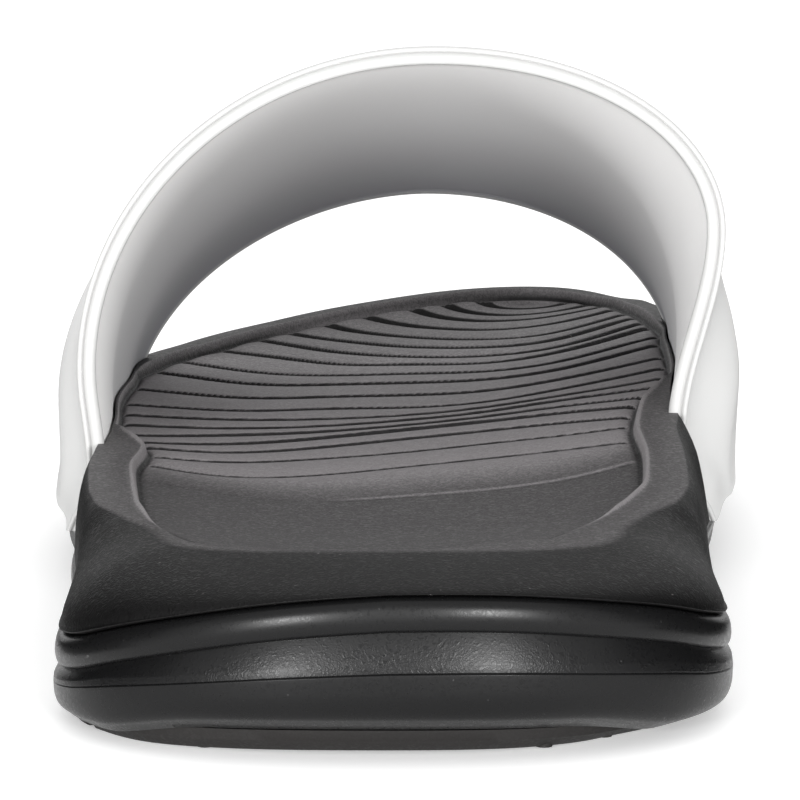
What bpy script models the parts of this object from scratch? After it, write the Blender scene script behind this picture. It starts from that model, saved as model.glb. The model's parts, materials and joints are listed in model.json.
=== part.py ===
# Sport slide sandal, the left one of a pair.
# Metres, +Z up, +Y from heel to toe, +X to the inner (big toe) side of the foot.
# Four pieces: a rubber outsole, a foam midsole, a foam foot bed with its raised rim,
# and the upper, one wide strap that stands on the midsole in a recess of the foot bed.

import bmesh
import bpy
import numpy as np


def table(rows):
    """Columns of a table by name, as arrays."""
    names = rows[0]
    values = np.array(rows[1:], float)
    return {name: values[:, i] for i, name in enumerate(names)}


# Driving dimensions
SOLE_LENGTH = 0.290
BALL_WIDTH = 0.1046
HEEL_WIDTH = 0.0830
HEEL_HEIGHT = 0.0220        # floor to the foot bed's rim at the heel
INSTEP_HEIGHT = 0.0757      # floor to the lining at the crown of the strap's rear edge
TOE_SPRING = 0.0120
HEEL_LIFT = 0.0016          # rise of the tread at the back of the heel
ARCH_LIFT = 0.0016
OUTSOLE_THICKNESS = 0.0026
LUG_DEPTH = 0.0013
GROOVE_WIDTH = 0.0026
STRAP_WALL = 0.0040
OUTER_PAD, INNER_PAD = 0.0040, 0.0060   # how much thicker the wall is, padded low at its sides
STRAP_EDGE = 0.0027         # wall at the strap's turned rear and front edges
EDGE_ROLL = 0.0008          # how far those edges bulge lengthways
BEAD_HEIGHT = 0.0041        # moulded bead under the crease of the sole's side
CREASE_DEPTH = 0.0019
BED_STEP = 0.0016           # drop from the rim to the sunk bed
OUTER_OVERHANG, INNER_OVERHANG = 0.0009, 0.0002     # how far the strap's feet stand proud
LIP_HEIGHT = 0.0015         # how far the midsole's edge reaches down round the outsole
PIECE_GAP = 0.0003
RECESS_GAP = 0.0004         # between the strap's lining and the foot bed

# Places along the sole, as shares of its length
HEEL_ARC_END = 0.117
HEEL_ARC_POWER = 2.35
HEEL_LIFT_END = 0.06
ARCH_START, ARCH_END = 0.33, 0.54
TOE_SPRING_START = 0.71
TOE_SPRING_POWER = 1.8
FIRST_GROOVE, LAST_GROOVE = 0.075, 0.955
GROOVE_COUNT = 17
GROOVE_DRAFT = 0.12         # lean of a groove's walls, as a share of its width
WIDTH_BLEND_START, WIDTH_BLEND_END = 0.12, 0.55
ACROSS_BLEND = 0.06         # over which insets turn from square to the outline to straight across
ACROSS_MARGIN = 1.3

# How finely the pieces are divided
HEEL_STEPS, STRAP_STEPS, TOE_STEPS = 17, 19, 15
TREAD_HEEL_STEPS, TREAD_TOE_STEPS = 8, 5
OUTLINE_SAMPLES = 6000
BED_COLUMNS = 8
FLAT_COLUMNS = 4
HOOP_STEPS = 48
HOOP_COUNT = 14
HOOP_SAMPLES = 81

# Outline of the sole seen from above: reach of each side, as shares of the half width there
OUTLINE = table((
    ("along", "outer", "inner"),
    (0.172, 0.993, 0.985),
    (0.250, 0.996, 0.956),
    (0.310, 0.991, 0.930),
    (0.355, 0.976, 0.910),
    (0.400, 0.974, 0.914),
    (0.450, 0.994, 0.930),
    (0.500, 1.008, 0.950),
    (0.550, 1.020, 0.968),
    (0.600, 1.021, 0.975),
    (0.650, 1.010, 0.980),
    (0.700, 0.975, 0.976),
    (0.741, 0.917, 0.966),
    (0.783, 0.832, 0.951),
    (0.838, 0.700, 0.914),
    (0.886, 0.541, 0.858),
    (0.9155, 0.402, 0.813),
    (0.941, 0.250, 0.765),
    (0.962, 0.105, 0.715),
    (0.982, -0.055, 0.640),
    (0.9955, -0.225, 0.530),
))
TOE_TIP = 0.382             # share of the half width, to the inner side

# Insets from the outline, as shares of the half width there: edge is the top of the side wall,
# bed is the border of the sunk foot bed inside the rim, and under is the edge of the tread
INSETS = table((
    ("along", "outer_edge", "inner_edge", "outer_bed", "inner_bed", "outer_under", "inner_under"),
    (0.000, 0.490, 0.490, 0.525, 0.525, 0.200, 0.200),
    (0.004, 0.470, 0.475, 0.510, 0.575, 0.190, 0.210),
    (0.014, 0.435, 0.450, 0.490, 0.620, 0.175, 0.235),
    (0.035, 0.398, 0.410, 0.462, 0.608, 0.145, 0.260),
    (0.062, 0.362, 0.373, 0.436, 0.572, 0.120, 0.230),
    (0.095, 0.342, 0.350, 0.388, 0.532, 0.075, 0.165),
    (0.120, 0.305, 0.335, 0.338, 0.485, 0.060, 0.115),
    (0.155, 0.190, 0.255, 0.265, 0.370, 0.060, 0.095),
    (0.190, 0.088, 0.130, 0.218, 0.282, 0.065, 0.095),
    (0.230, 0.062, 0.088, 0.206, 0.222, 0.070, 0.095),
    (0.290, 0.065, 0.092, 0.202, 0.212, 0.075, 0.095),
    (0.350, 0.078, 0.104, 0.228, 0.236, 0.080, 0.100),
    (0.385, 0.085, 0.110, 0.226, 0.255, 0.080, 0.105),
    (0.430, 0.095, 0.120, 0.190, 0.278, 0.080, 0.110),
    (0.500, 0.110, 0.120, 0.154, 0.240, 0.080, 0.110),
    (0.560, 0.110, 0.115, 0.148, 0.196, 0.075, 0.105),
    (0.620, 0.110, 0.112, 0.160, 0.178, 0.070, 0.095),
    (0.690, 0.112, 0.112, 0.200, 0.168, 0.075, 0.085),
    (0.740, 0.112, 0.112, 0.208, 0.174, 0.085, 0.085),
    (0.790, 0.102, 0.102, 0.202, 0.186, 0.100, 0.095),
    (0.850, 0.082, 0.080, 0.182, 0.182, 0.120, 0.115),
    (0.920, 0.062, 0.060, 0.158, 0.158, 0.140, 0.140),
    (1.000, 0.048, 0.048, 0.150, 0.150, 0.150, 0.150),
))

# How far the lower side leans in on its way down, as shares of the half width: the arch
LEAN = table((
    ("along", "outer", "inner"),
    (0.000, 0.000, 0.000),
    (0.300, 0.005, 0.005),
    (0.380, 0.042, 0.065),
    (0.450, 0.050, 0.105),
    (0.520, 0.040, 0.135),
    (0.600, 0.020, 0.100),
    (0.680, 0.000, 0.050),
    (0.760, 0.000, 0.010),
    (1.000, 0.000, 0.000),
))

# Heights of the sole's side lines, as shares of the heel height, over the toe's rise
SIDE_LINES = table((
    ("along", "crease", "parting", "outer_rim", "inner_rim", "bed_dip"),
    (0.000, 0.880, 0.500, 1.000, 1.000, 0.010),
    (0.014, 0.830, 0.455, 1.000, 1.000, 0.015),
    (0.035, 0.745, 0.400, 1.000, 1.000, 0.020),
    (0.062, 0.645, 0.330, 1.000, 1.000, 0.030),
    (0.103, 0.560, 0.275, 1.003, 1.005, 0.045),
    (0.172, 0.515, 0.250, 1.014, 1.025, 0.065),
    (0.250, 0.495, 0.240, 1.028, 1.080, 0.075),
    (0.355, 0.470, 0.225, 1.048, 1.170, 0.085),
    (0.400, 0.465, 0.220, 1.052, 1.195, 0.095),
    (0.520, 0.470, 0.225, 1.062, 1.250, 0.110),
    (0.700, 0.500, 0.245, 1.100, 1.295, 0.090),
    (0.770, 0.500, 0.255, 1.070, 1.270, 0.070),
    (0.880, 0.450, 0.240, 0.920, 1.070, 0.045),
    (0.950, 0.400, 0.220, 0.800, 0.870, 0.030),
    (1.000, 0.370, 0.210, 0.727, 0.727, 0.020),
))

# The strap's lining, a row for each hoop from the rear edge to the front one. Places along are
# shares of the length, heights are shares of the instep height, widths are shares of the sole's
# half width there, the crown's of half the ball width. A side is widest at its own height and
# rises from there to the crown as a rounded quarter, and below it the wall tucks in a little.
HOOPS = table((
    ("outer_along", "top_along", "inner_along", "crown_width", "crown_height",
     "outer_width", "outer_height", "outer_power", "outer_tuck",
     "inner_width", "inner_height", "inner_power", "inner_tuck"),
    (0.365, 0.409, 0.396, 0.085, 1.000, 0.887, 0.490, 2.02, 0.022, 0.935, 0.690, 2.05, 0.080),
    (0.478, 0.492, 0.520, 0.080, 0.912, 0.845, 0.340, 2.10, 0.000, 0.818, 0.440, 2.10, 0.012),
    (0.592, 0.581, 0.648, 0.068, 0.800, 0.846, 0.240, 2.00, 0.000, 0.822, 0.320, 2.10, 0.000),
    (0.702, 0.669, 0.762, 0.053, 0.686, 0.915, 0.180, 1.85, 0.000, 0.890, 0.240, 2.00, 0.000),
))

# Profile of the foot bed's side wall, from the crease to its top edge, as shares of inset and
# rise: the wall bulges round the heel and is straighter beside the strap
WALL_PROFILE = table((
    ("bulged", "straight", "rise"),
    (0.02, 0.03, 0.04),
    (0.03, 0.08, 0.13),
    (0.07, 0.15, 0.27),
    (0.16, 0.26, 0.45),
    (0.32, 0.42, 0.65),
    (0.55, 0.69, 0.84),
    (0.78, 0.89, 0.95),
    (1.00, 1.00, 1.00),
))
BULGED_END, STRAIGHT_START = 0.25, 0.38     # where the wall's profile changes
WALL_FOOT = 0.38            # inset of the wall at the crease, as a share of the crease's depth

# How the foot bed steps down from its rim: shares of the way from the wall's edge to the bed's
# border, then the step's own profile as shares of its height
RIM_SHARES = (0.12, 0.55, 0.92)
STEP_PROFILE = table((
    ("inset", "drop"),
    (0.00, 0.00),
    (0.35, 0.45),
    (0.90, 1.00),
))
STEP_START, STEP_FULL = 0.07, 0.19  # over which the step grows from its least to its full height
LEAST_STEP = 0.35           # share of the full step at the back of the heel
LEAST_RIM = 0.0007          # least width of the rim beside the strap
BED_START, BED_END = 0.16, 0.82     # where the bed's borders turn from round ends to sides
RIM_BLEND = 0.88            # from where the two sides' rims come to one height at the toe

# Profile of the bead under the crease: inset as shares of the crease's depth, drop as shares of
# the bead's height
BEAD_PROFILE = table((
    ("inset", "drop"),
    (1.00, 0.20),
    (0.62, 0.26),
    (0.30, 0.44),
    (0.16, 0.68),
    (0.24, 0.88),
    (0.45, 1.00),
))

# Profile from the bead down to the midsole's lip: inset as shares of the tread's inset, drop as
# shares of the way from the parting line to the outsole, also above that line
LOWER_PROFILE = table((
    ("inset", "drop"),
    (0.02, -0.22),
    (0.00, 0.04),
    (0.01, 0.40),
    (0.06, 0.70),
    (0.16, 0.90),
    (0.30, 1.00),
))
LIP_INSET = 0.50
SEAT_INSET = 0.60           # wall of the shallow seat that holds the outsole
LIP_START, LIP_FULL = 0.010, 0.045
OUTSOLE_PROFILE = table((
    ("inset", "rise"),
    (1.00, 0.00),
    (0.86, 0.22),
    (0.74, 0.50),
    (0.66, 1.00),
))
BEAD_LEAN = 0.40            # share of the lean that is reached at the bead's foot

EDGE_TAPER = 0.25           # share of the strap's width over which its wall thins to its edge
PAD_TOP, PAD_FADE = 0.74, 0.40      # heights over which the side pads thin out
FULL_FLARE = 0.014          # height of the widest place over the foot at which the foot flares fully
FOOT_LEVEL = 3.0            # height, in walls, over which the strap's cover turns level at its foot
TUCK_SCALE = 6.75           # makes the greatest value of low * low * (1 - low) equal to 1

SHARP_ANGLE = np.radians(35)
COLLECTION_NAME = "slide_sandal"
MATERIALS = {
    "outsole": ("rubber_tread", (0.050, 0.045, 0.044), 0.75),
    "midsole": ("foam_midsole", (0.028, 0.028, 0.029), 0.48),
    "footbed": ("foam_footbed", (0.060, 0.056, 0.060), 0.62),
    "strap": ("strap_synthetic", (0.86, 0.86, 0.85), 0.42),
}


def smooth_step(t):
    t = np.clip(t, 0.0, 1.0)
    return t * t * (3.0 - 2.0 * t)


def through(xs, ys, x):
    """Smooth curve through a table's values that doesn't overshoot them."""
    step = np.diff(xs)
    slope = np.diff(ys) / step
    tangent = np.zeros(len(xs))
    tangent[0], tangent[-1] = slope[0], slope[-1]
    same = slope[:-1] * slope[1:] > 0
    before, after = step[:-1], step[1:]
    w1, w2 = 2 * after + before, after + 2 * before
    with np.errstate(divide="ignore", invalid="ignore"):
        mean = (w1 + w2) / (w1 / slope[:-1] + w2 / slope[1:])
    tangent[1:-1] = np.where(same, mean, 0.0)
    x = np.clip(x, xs[0], xs[-1])
    i = np.clip(np.searchsorted(xs, x) - 1, 0, len(xs) - 2)
    t = (x - xs[i]) / step[i]
    rise = (1 - t) * ys[i] + t * ys[i + 1]
    bend = t * (1 - t) * ((1 - t) * (tangent[i] - slope[i]) - t * (tangent[i + 1] - slope[i]))
    return rise + bend * step[i]


def closed_spline(points, samples):
    """Points along a closed cubic curve through the given ones."""
    points = np.array(points, float)
    count = len(points)
    following = np.roll(points, -1, axis=0)
    chord = np.linalg.norm(following - points, axis=1)
    previous_chord = np.roll(chord, 1)
    system = np.zeros((count, count))
    for i in range(count):
        system[i, i - 1] = previous_chord[i]
        system[i, i] = 2 * (previous_chord[i] + chord[i])
        system[i, (i + 1) % count] = chord[i]
    slope = (following - points) / chord[:, None]
    bend = np.linalg.solve(system, 6 * (slope - np.roll(slope, 1, axis=0)))
    knots = np.concatenate(([0.0], np.cumsum(chord)))
    place = np.linspace(0, knots[-1], samples, endpoint=False)
    i = np.clip(np.searchsorted(knots, place, side="right") - 1, 0, count - 1)
    j = (i + 1) % count
    h = chord[i][:, None]
    b = ((place - knots[i]) / chord[i])[:, None]
    a = 1 - b
    return (a * points[i] + b * points[j]
            + ((a ** 3 - a) * bend[i] + (b ** 3 - b) * bend[j]) * h * h / 6)


def half_width(along):
    blend = smooth_step((along - WIDTH_BLEND_START) / (WIDTH_BLEND_END - WIDTH_BLEND_START))
    return (HEEL_WIDTH + (BALL_WIDTH - HEEL_WIDTH) * blend) / 2


def toe_rise(along):
    t = np.clip((along - TOE_SPRING_START) / (1 - TOE_SPRING_START), 0, 1)
    return TOE_SPRING * t ** TOE_SPRING_POWER


def ground(along):
    """Underside of the tread: level at heel and ball, lifted at the heel's back, arch and toe."""
    heel = HEEL_LIFT * np.clip(1 - along / HEEL_LIFT_END, 0, 1) ** 2
    arch = np.clip((along - ARCH_START) / (ARCH_END - ARCH_START), 0, 1)
    return heel + ARCH_LIFT * np.sin(np.pi * arch) ** 2 + toe_rise(along)


def side_line(name, along):
    """Height of one of the sole's side lines."""
    shares = through(SIDE_LINES["along"], SIDE_LINES[name], along)
    return HEEL_HEIGHT * shares + toe_rise(along)


def sole_outline():
    """Both sides of the sole's outline, from the heel's back to the toe's tip."""
    control = {}
    for name in ("outer", "inner"):
        turn = np.linspace(0, np.pi / 2, 7)[1:]
        arc_x = HEEL_WIDTH / 2 * np.sin(turn) ** (2 / HEEL_ARC_POWER)
        arc_y = HEEL_ARC_END * (1 - np.cos(turn) ** (2 / HEEL_ARC_POWER))
        along = np.concatenate((arc_y, OUTLINE["along"]))
        reach = np.concatenate((arc_x, OUTLINE[name] * half_width(OUTLINE["along"])))
        control[name] = np.stack((reach, along * SOLE_LENGTH), axis=1)
    outer = control["outer"] * (-1, 1)
    tip = [(TOE_TIP * BALL_WIDTH / 2, SOLE_LENGTH)]
    loop = np.concatenate(([(0, 0)], outer, tip, control["inner"][::-1]))
    dense = closed_spline(loop, OUTLINE_SAMPLES)
    top = int(np.argmax(dense[:, 1]))
    sides = {}
    for name, side in (("outer", dense[:top + 1]), ("inner", np.roll(dense[::-1], 1, axis=0))):
        side = side[:len(dense) - top + 1] if name == "inner" else side
        tangent = np.gradient(side, axis=0)
        tangent /= np.linalg.norm(tangent, axis=1)[:, None]
        turn = 1 if name == "outer" else -1
        inward = np.stack((tangent[:, 1], -tangent[:, 0]), axis=1) * turn
        length = np.concatenate(([0], np.cumsum(np.linalg.norm(np.diff(side, axis=0), axis=1))))
        sides[name] = {"point": side, "inward": inward, "length": length}
    return sides


SIDES = sole_outline()
SIGN = {"outer": -1, "inner": 1}
OTHER_SIDE = {"outer": "inner", "inner": "outer"}
PAD = {"outer": OUTER_PAD, "inner": INNER_PAD}
OVERHANG = {"outer": OUTER_OVERHANG, "inner": INNER_OVERHANG}


def on_outline(name, length):
    """Points and inward directions at the given distances from the heel's back. Beside the
    strap the direction is straight across the sole."""
    side = SIDES[name]
    point = [np.interp(length, side["length"], side["point"][:, i]) for i in (0, 1)]
    inward = [np.interp(length, side["length"], side["inward"][:, i]) for i in (0, 1)]
    start, end = [y / SOLE_LENGTH for y in recess_ends(name)]
    along = point[1] / SOLE_LENGTH
    beside = smooth_step((along - start) / ACROSS_BLEND + ACROSS_MARGIN)
    beside = beside * smooth_step((end - along) / ACROSS_BLEND + ACROSS_MARGIN)
    inward[0] = inward[0] * (1 - beside) - SIGN[name] * beside
    inward[1] = inward[1] * (1 - beside)
    return np.stack(point, axis=-1), np.stack(inward, axis=-1)


def length_at(name, y):
    side = SIDES[name]
    return np.interp(y, side["point"][:, 1], side["length"])


def reach_at(name, y):
    """Distance of the sole's outline from the centre line at a place along it."""
    side = SIDES[name]
    return np.abs(np.interp(y, side["point"][:, 1], side["point"][:, 0]))


def strap_wall(name, t, height):
    """The strap's wall: thin at its rear and front edges, padded low at its sides."""
    inside = smooth_step(np.minimum(t, 1 - t) / EDGE_TAPER)
    pad = PAD[name] * smooth_step((PAD_TOP - height / INSTEP_HEIGHT) / PAD_FADE)
    return STRAP_EDGE + (STRAP_WALL - STRAP_EDGE + pad) * inside


def hoop_value(name, t):
    rows = np.linspace(0, 1, len(HOOPS[name]))
    return through(rows, HOOPS[name], t)


def hoop_side(name, t, share):
    """One side of the lining at hoop t: from its foot, share 0, over the widest place, share 1,
    to the crown, share 2."""
    t, share = np.broadcast_arrays(np.asarray(t, float), np.asarray(share, float))
    y_foot = hoop_value(name + "_along", t) * SOLE_LENGTH
    y_top = hoop_value("top_along", t) * SOLE_LENGTH
    along = y_foot / SOLE_LENGTH
    reach = reach_at(name, y_foot)
    foot_z = side_line("crease", along) + PIECE_GAP
    foot_x = reach + OVERHANG[name] - strap_wall(name, t, foot_z)
    wide_x = hoop_value(name + "_width", t) * reach
    wide_z = hoop_value(name + "_height", t) * INSTEP_HEIGHT
    wide_z = np.maximum(wide_z, foot_z + PIECE_GAP)
    flare = smooth_step((wide_z - foot_z) / FULL_FLARE)
    foot_x = wide_x + (foot_x - wide_x) * flare
    crown_x = SIGN[name] * hoop_value("crown_width", t) * BALL_WIDTH / 2
    crown_z = hoop_value("crown_height", t) * INSTEP_HEIGHT
    power = 2 / hoop_value(name + "_power", t)
    low = np.clip(1 - share, 0, 1)
    tuck = hoop_value(name + "_tuck", t) * reach * TUCK_SCALE * low ** 2 * (1 - low)
    low_x = wide_x + (foot_x - wide_x) * low ** 3 - tuck
    low_z = wide_z + (foot_z - wide_z) * low
    turn = np.clip(share - 1, 0, 1) * np.pi / 2
    width = np.clip(np.cos(turn), 0, 1) ** power
    high_x = crown_x + (wide_x - crown_x) * width
    high_z = wide_z + (crown_z - wide_z) * np.sin(turn) ** power
    x = np.where(share <= 1, low_x, high_x) * SIGN[name]
    z = np.where(share <= 1, low_z, high_z)
    y = np.where(share <= 1, y_foot, y_top + (y_foot - y_top) * width ** 2)
    return np.stack((x, y, z), axis=-1)


def hoop_line(t):
    """The lining at hoop t, from the outer foot over the crown to the inner foot."""
    fine = np.linspace(0, 2, 2 * HOOP_SAMPLES - 1)
    outer = hoop_side("outer", t, fine)
    inner = hoop_side("inner", t, fine)[::-1][1:]
    line = np.concatenate((outer, inner))
    run = np.concatenate(([0], np.cumsum(np.linalg.norm(np.diff(line, axis=0), axis=1))))
    even = np.linspace(0, run[-1], HOOP_STEPS + 1)
    return np.stack([np.interp(even, run, line[:, i]) for i in range(3)], axis=1)


HOOP_PLACES = np.linspace(0, 1, HOOP_COUNT)
LINING = np.array([hoop_line(t) for t in HOOP_PLACES])


def lining_x(name, y, z):
    """Where the lining's side stands at a place along and a height."""
    xs, ys = [], []
    for line in LINING:
        half = line[:HOOP_STEPS // 2] if name == "outer" else line[:HOOP_STEPS // 2:-1]
        xs.append(np.interp(z, half[:, 2], half[:, 0]))
        ys.append(np.interp(z, half[:, 2], half[:, 1]))
    return np.interp(y, ys, xs)


def recess_ends(name):
    """Where the foot bed's recess for the strap starts and ends."""
    clear = EDGE_ROLL + PIECE_GAP
    ends = HOOPS[name + "_along"][[0, -1]] * SOLE_LENGTH
    return ends[0] - clear, ends[1] + clear


def stations(name):
    """Distances along a side's outline, with a close pair at each end of the recess."""
    start, end = [length_at(name, y) for y in recess_ends(name)]
    total = SIDES[name]["length"][-1]
    heel = np.linspace(0, start, HEEL_STEPS)
    middle = np.linspace(start + PIECE_GAP / 2, end - PIECE_GAP / 2, STRAP_STEPS)
    toe = np.linspace(end, total, TOE_STEPS)
    inside = np.zeros(HEEL_STEPS + STRAP_STEPS + TOE_STEPS, bool)
    inside[HEEL_STEPS:HEEL_STEPS + STRAP_STEPS] = True
    return np.concatenate((heel, middle, toe)), inside


def ring(lengths, inset, height):
    """A closed ring round the sole, inset from its outline. The inset and height are functions
    of the side's name, the outline's points and the places along."""
    loop = []
    for name in ("outer", "inner"):
        point, inward = on_outline(name, lengths[name])
        along = point[:, 1] / SOLE_LENGTH
        place = point + inward * inset(name, along)[:, None]
        z = height(name, place[:, 1] / SOLE_LENGTH, along)
        side = np.concatenate((place, z[:, None]), axis=1)
        loop.append(side if name == "outer" else side[-2:0:-1])
    return np.concatenate(loop)


class Shell:
    """A closed body made of rings from its underside to its top."""

    def __init__(self):
        self.points = []
        self.faces = []
        self.last = None

    def add(self, points):
        start = len(self.points)
        self.points.extend(points)
        return list(range(start, len(self.points)))

    def next_ring(self, points):
        current = self.add(points)
        if self.last is not None:
            count = len(current)
            for i in range(count):
                j = (i + 1) % count
                self.faces.append((self.last[i], self.last[j], current[j], current[i]))
        self.last = current
        return current

    def fill(self, loop, columns, shape):
        """Close a ring with rungs from side to side. shape gives a rung's points."""
        rungs = len(loop) // 2
        rows = [[loop[0]] * (columns + 1)]
        for k in range(1, rungs):
            left, right = loop[k], loop[-k]
            between = shape(k, np.array(self.points[left]), np.array(self.points[right]))
            rows.append([left] + self.add(between) + [right])
        rows.append([loop[rungs]] * (columns + 1))
        for k in range(rungs):
            for j in range(columns):
                corners = (rows[k][j], rows[k][j + 1], rows[k + 1][j + 1], rows[k + 1][j])
                face = [c for i, c in enumerate(corners) if c != corners[i - 1]]
                if len(face) > 2:
                    self.faces.append(face)


def straight_rung(columns):
    def shape(k, left, right):
        shares = np.linspace(0, 1, columns + 1)[1:-1, None]
        return left + (right - left) * shares
    return shape


def bed_rung(k, left, right):
    """A rung of the foot bed, dished between its borders."""
    shares = np.linspace(0, 1, BED_COLUMNS + 1)[1:-1, None]
    points = left + (right - left) * shares
    along = points[:, 1] / SOLE_LENGTH
    dip = HEEL_HEIGHT * through(SIDE_LINES["along"], SIDE_LINES["bed_dip"], along)
    points[:, 2] -= dip * (1 - (2 * shares[:, 0] - 1) ** 2)
    return points


def constant(value):
    return lambda name, along: np.full(len(along), value)


def inset_of(column):
    def inset(name, along):
        shares = through(INSETS["along"], INSETS[name + "_" + column], along)
        return shares * half_width(along)
    return inset


def undercut(share, lean_share, extra=0.0):
    """An inset on the sole's lower side, with a share of the tread's inset and of the lean."""
    def inset(name, along):
        under = through(INSETS["along"], INSETS[name + "_under"], along)
        lean = through(LEAN["along"], LEAN[name], along)
        return (under * share + lean * lean_share) * half_width(along) + extra
    return inset


def side_lengths():
    lengths, inside = {}, {}
    for name in ("outer", "inner"):
        lengths[name], inside[name] = stations(name)
    return lengths, inside


def crease_height(drop):
    return lambda name, along, at: side_line("crease", at) - drop


def rim_height(name, place, at):
    """Height of a side's rim. The two sides' rims meet at one height at the toe's tip."""
    own = side_line(name + "_rim", place)
    other = side_line(OTHER_SIDE[name] + "_rim", place)
    return own + (other - own) / 2 * smooth_step((at - RIM_BLEND) / (1 - RIM_BLEND))


def wall_share(row, along):
    """Inset of the wall's profile at one of its rows, as a share of the top edge's inset."""
    blend = smooth_step((along - BULGED_END) / (STRAIGHT_START - BULGED_END))
    return WALL_PROFILE["bulged"][row] * (1 - blend) + WALL_PROFILE["straight"][row] * blend


def seat_in_recess(points, lengths, inside, lift):
    """Move a ring's points that lie in the recess to stand clear of the lining. lift is their
    share of the way from the crease to the rim."""
    for name in ("outer", "inner"):
        for k in np.flatnonzero(inside[name]):
            i = k if name == "outer" else len(points) - k
            y = on_outline(name, lengths[name][k])[0][1]
            along = y / SOLE_LENGTH
            crease = side_line("crease", along)
            z = crease + (side_line(name + "_rim", along) - crease) * lift
            points[i] = (lining_x(name, y, z) - SIGN[name] * RECESS_GAP, y, z)
    return points


def build_footbed():
    lengths, inside = side_lengths()
    body = Shell()
    edge_inset = inset_of("edge")
    bottom = ring(lengths, constant(CREASE_DEPTH + STRAP_WALL), crease_height(0))
    bottom = body.next_ring(seat_in_recess(bottom, lengths, inside, 0))
    body.fill(bottom, FLAT_COLUMNS, straight_rung(FLAT_COLUMNS))
    for row, rise in enumerate(WALL_PROFILE["rise"]):
        def wall_inset(name, along, row=row):
            share = wall_share(row, along)
            return edge_inset(name, along) * share + CREASE_DEPTH * WALL_FOOT * (1 - share)

        def wall_height(name, place, at, rise=rise):
            low = side_line("crease", at)
            return low + (rim_height(name, place, at) - low) * rise

        points = ring(lengths, wall_inset, wall_height)
        edge = seat_in_recess(points, lengths, inside, rise)
        body.next_ring(edge)
    border = ring(lengths, inset_of("bed"), rim_height)
    border = keep_inside(edge, border, len(lengths["outer"]))
    for share in RIM_SHARES:
        body.next_ring(edge + (border - edge) * share)
    inward = rung_centres(border) - border
    inward /= np.maximum(np.linalg.norm(inward, axis=1), PIECE_GAP)[:, None]
    step = bed_step(border[:, 1] / SOLE_LENGTH)
    for inset, drop in list(zip(STEP_PROFILE["inset"], STEP_PROFILE["drop"]))[1:]:
        low = border + inward * step[:, None] * inset
        low[:, 2] = border[:, 2] - step * drop
        top = body.next_ring(low)
    body.fill(top, BED_COLUMNS, bed_rung)
    return body


def bed_step(along):
    """Drop from the rim to the bed, less at the heel's back, where they blend."""
    grown = smooth_step((along - STEP_START) / (STEP_FULL - STEP_START))
    return BED_STEP * (LEAST_STEP + (1 - LEAST_STEP) * grown)


def keep_inside(edge, border, count):
    """Hold the bed's border a little inside the wall's top edge beside the strap."""
    sign = np.where(np.arange(len(edge)) < count, SIGN["outer"], SIGN["inner"])
    limit = sign * edge[:, 0] - LEAST_RIM
    along = edge[:, 1] / SOLE_LENGTH
    over = (along > BED_START) & (along < BED_END) & (sign * border[:, 0] > limit)
    border[over, 0] = (sign * limit)[over]
    return border


def rung_centres(loop):
    """The middle of each rung, towards which the bed's border steps down."""
    centre = loop.copy()
    for k in range(1, len(loop) // 2):
        centre[k] = centre[-k] = (loop[k] + loop[-k]) / 2
    centre[:, 1] = np.clip(centre[:, 1], BED_START * SOLE_LENGTH, BED_END * SOLE_LENGTH)
    centre[0, 0] = 0
    centre[:, 2] = loop[:, 2]
    return centre


def build_midsole():
    lengths, _ = side_lengths()
    body = Shell()
    top_of_outsole = OUTSOLE_THICKNESS + PIECE_GAP

    def seat_height(name, place, at):
        return ground(place) + top_of_outsole

    def lip_height(name, place, at):
        lip = smooth_step((at - LIP_START) / (LIP_FULL - LIP_START))
        return ground(place) + top_of_outsole - LIP_HEIGHT * lip

    seat = body.next_ring(ring(lengths, undercut(SEAT_INSET, 1), seat_height))
    body.fill(seat, FLAT_COLUMNS, straight_rung(FLAT_COLUMNS))
    body.next_ring(ring(lengths, undercut(LIP_INSET, 1), lip_height))
    for inset, drop in list(zip(LOWER_PROFILE["inset"], LOWER_PROFILE["drop"]))[::-1]:
        def side_height(name, place, at, share=drop):
            top = side_line("parting", at)
            bottom = lip_height(name, place, at) + LIP_HEIGHT * (1 - LIP_INSET)
            return top + (bottom - top) * share

        lean = BEAD_LEAN + (1 - BEAD_LEAN) * max(drop, 0)
        body.next_ring(ring(lengths, undercut(inset, lean), side_height))
    for inset, drop in list(zip(BEAD_PROFILE["inset"], BEAD_PROFILE["drop"]))[::-1]:
        place = undercut(0, BEAD_LEAN * drop, inset * CREASE_DEPTH)
        body.next_ring(ring(lengths, place, crease_height(drop * BEAD_HEIGHT)))
    top = ring(lengths, constant(CREASE_DEPTH), crease_height(PIECE_GAP))
    top = body.next_ring(top)
    body.fill(top, FLAT_COLUMNS, straight_rung(FLAT_COLUMNS))
    return body


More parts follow.
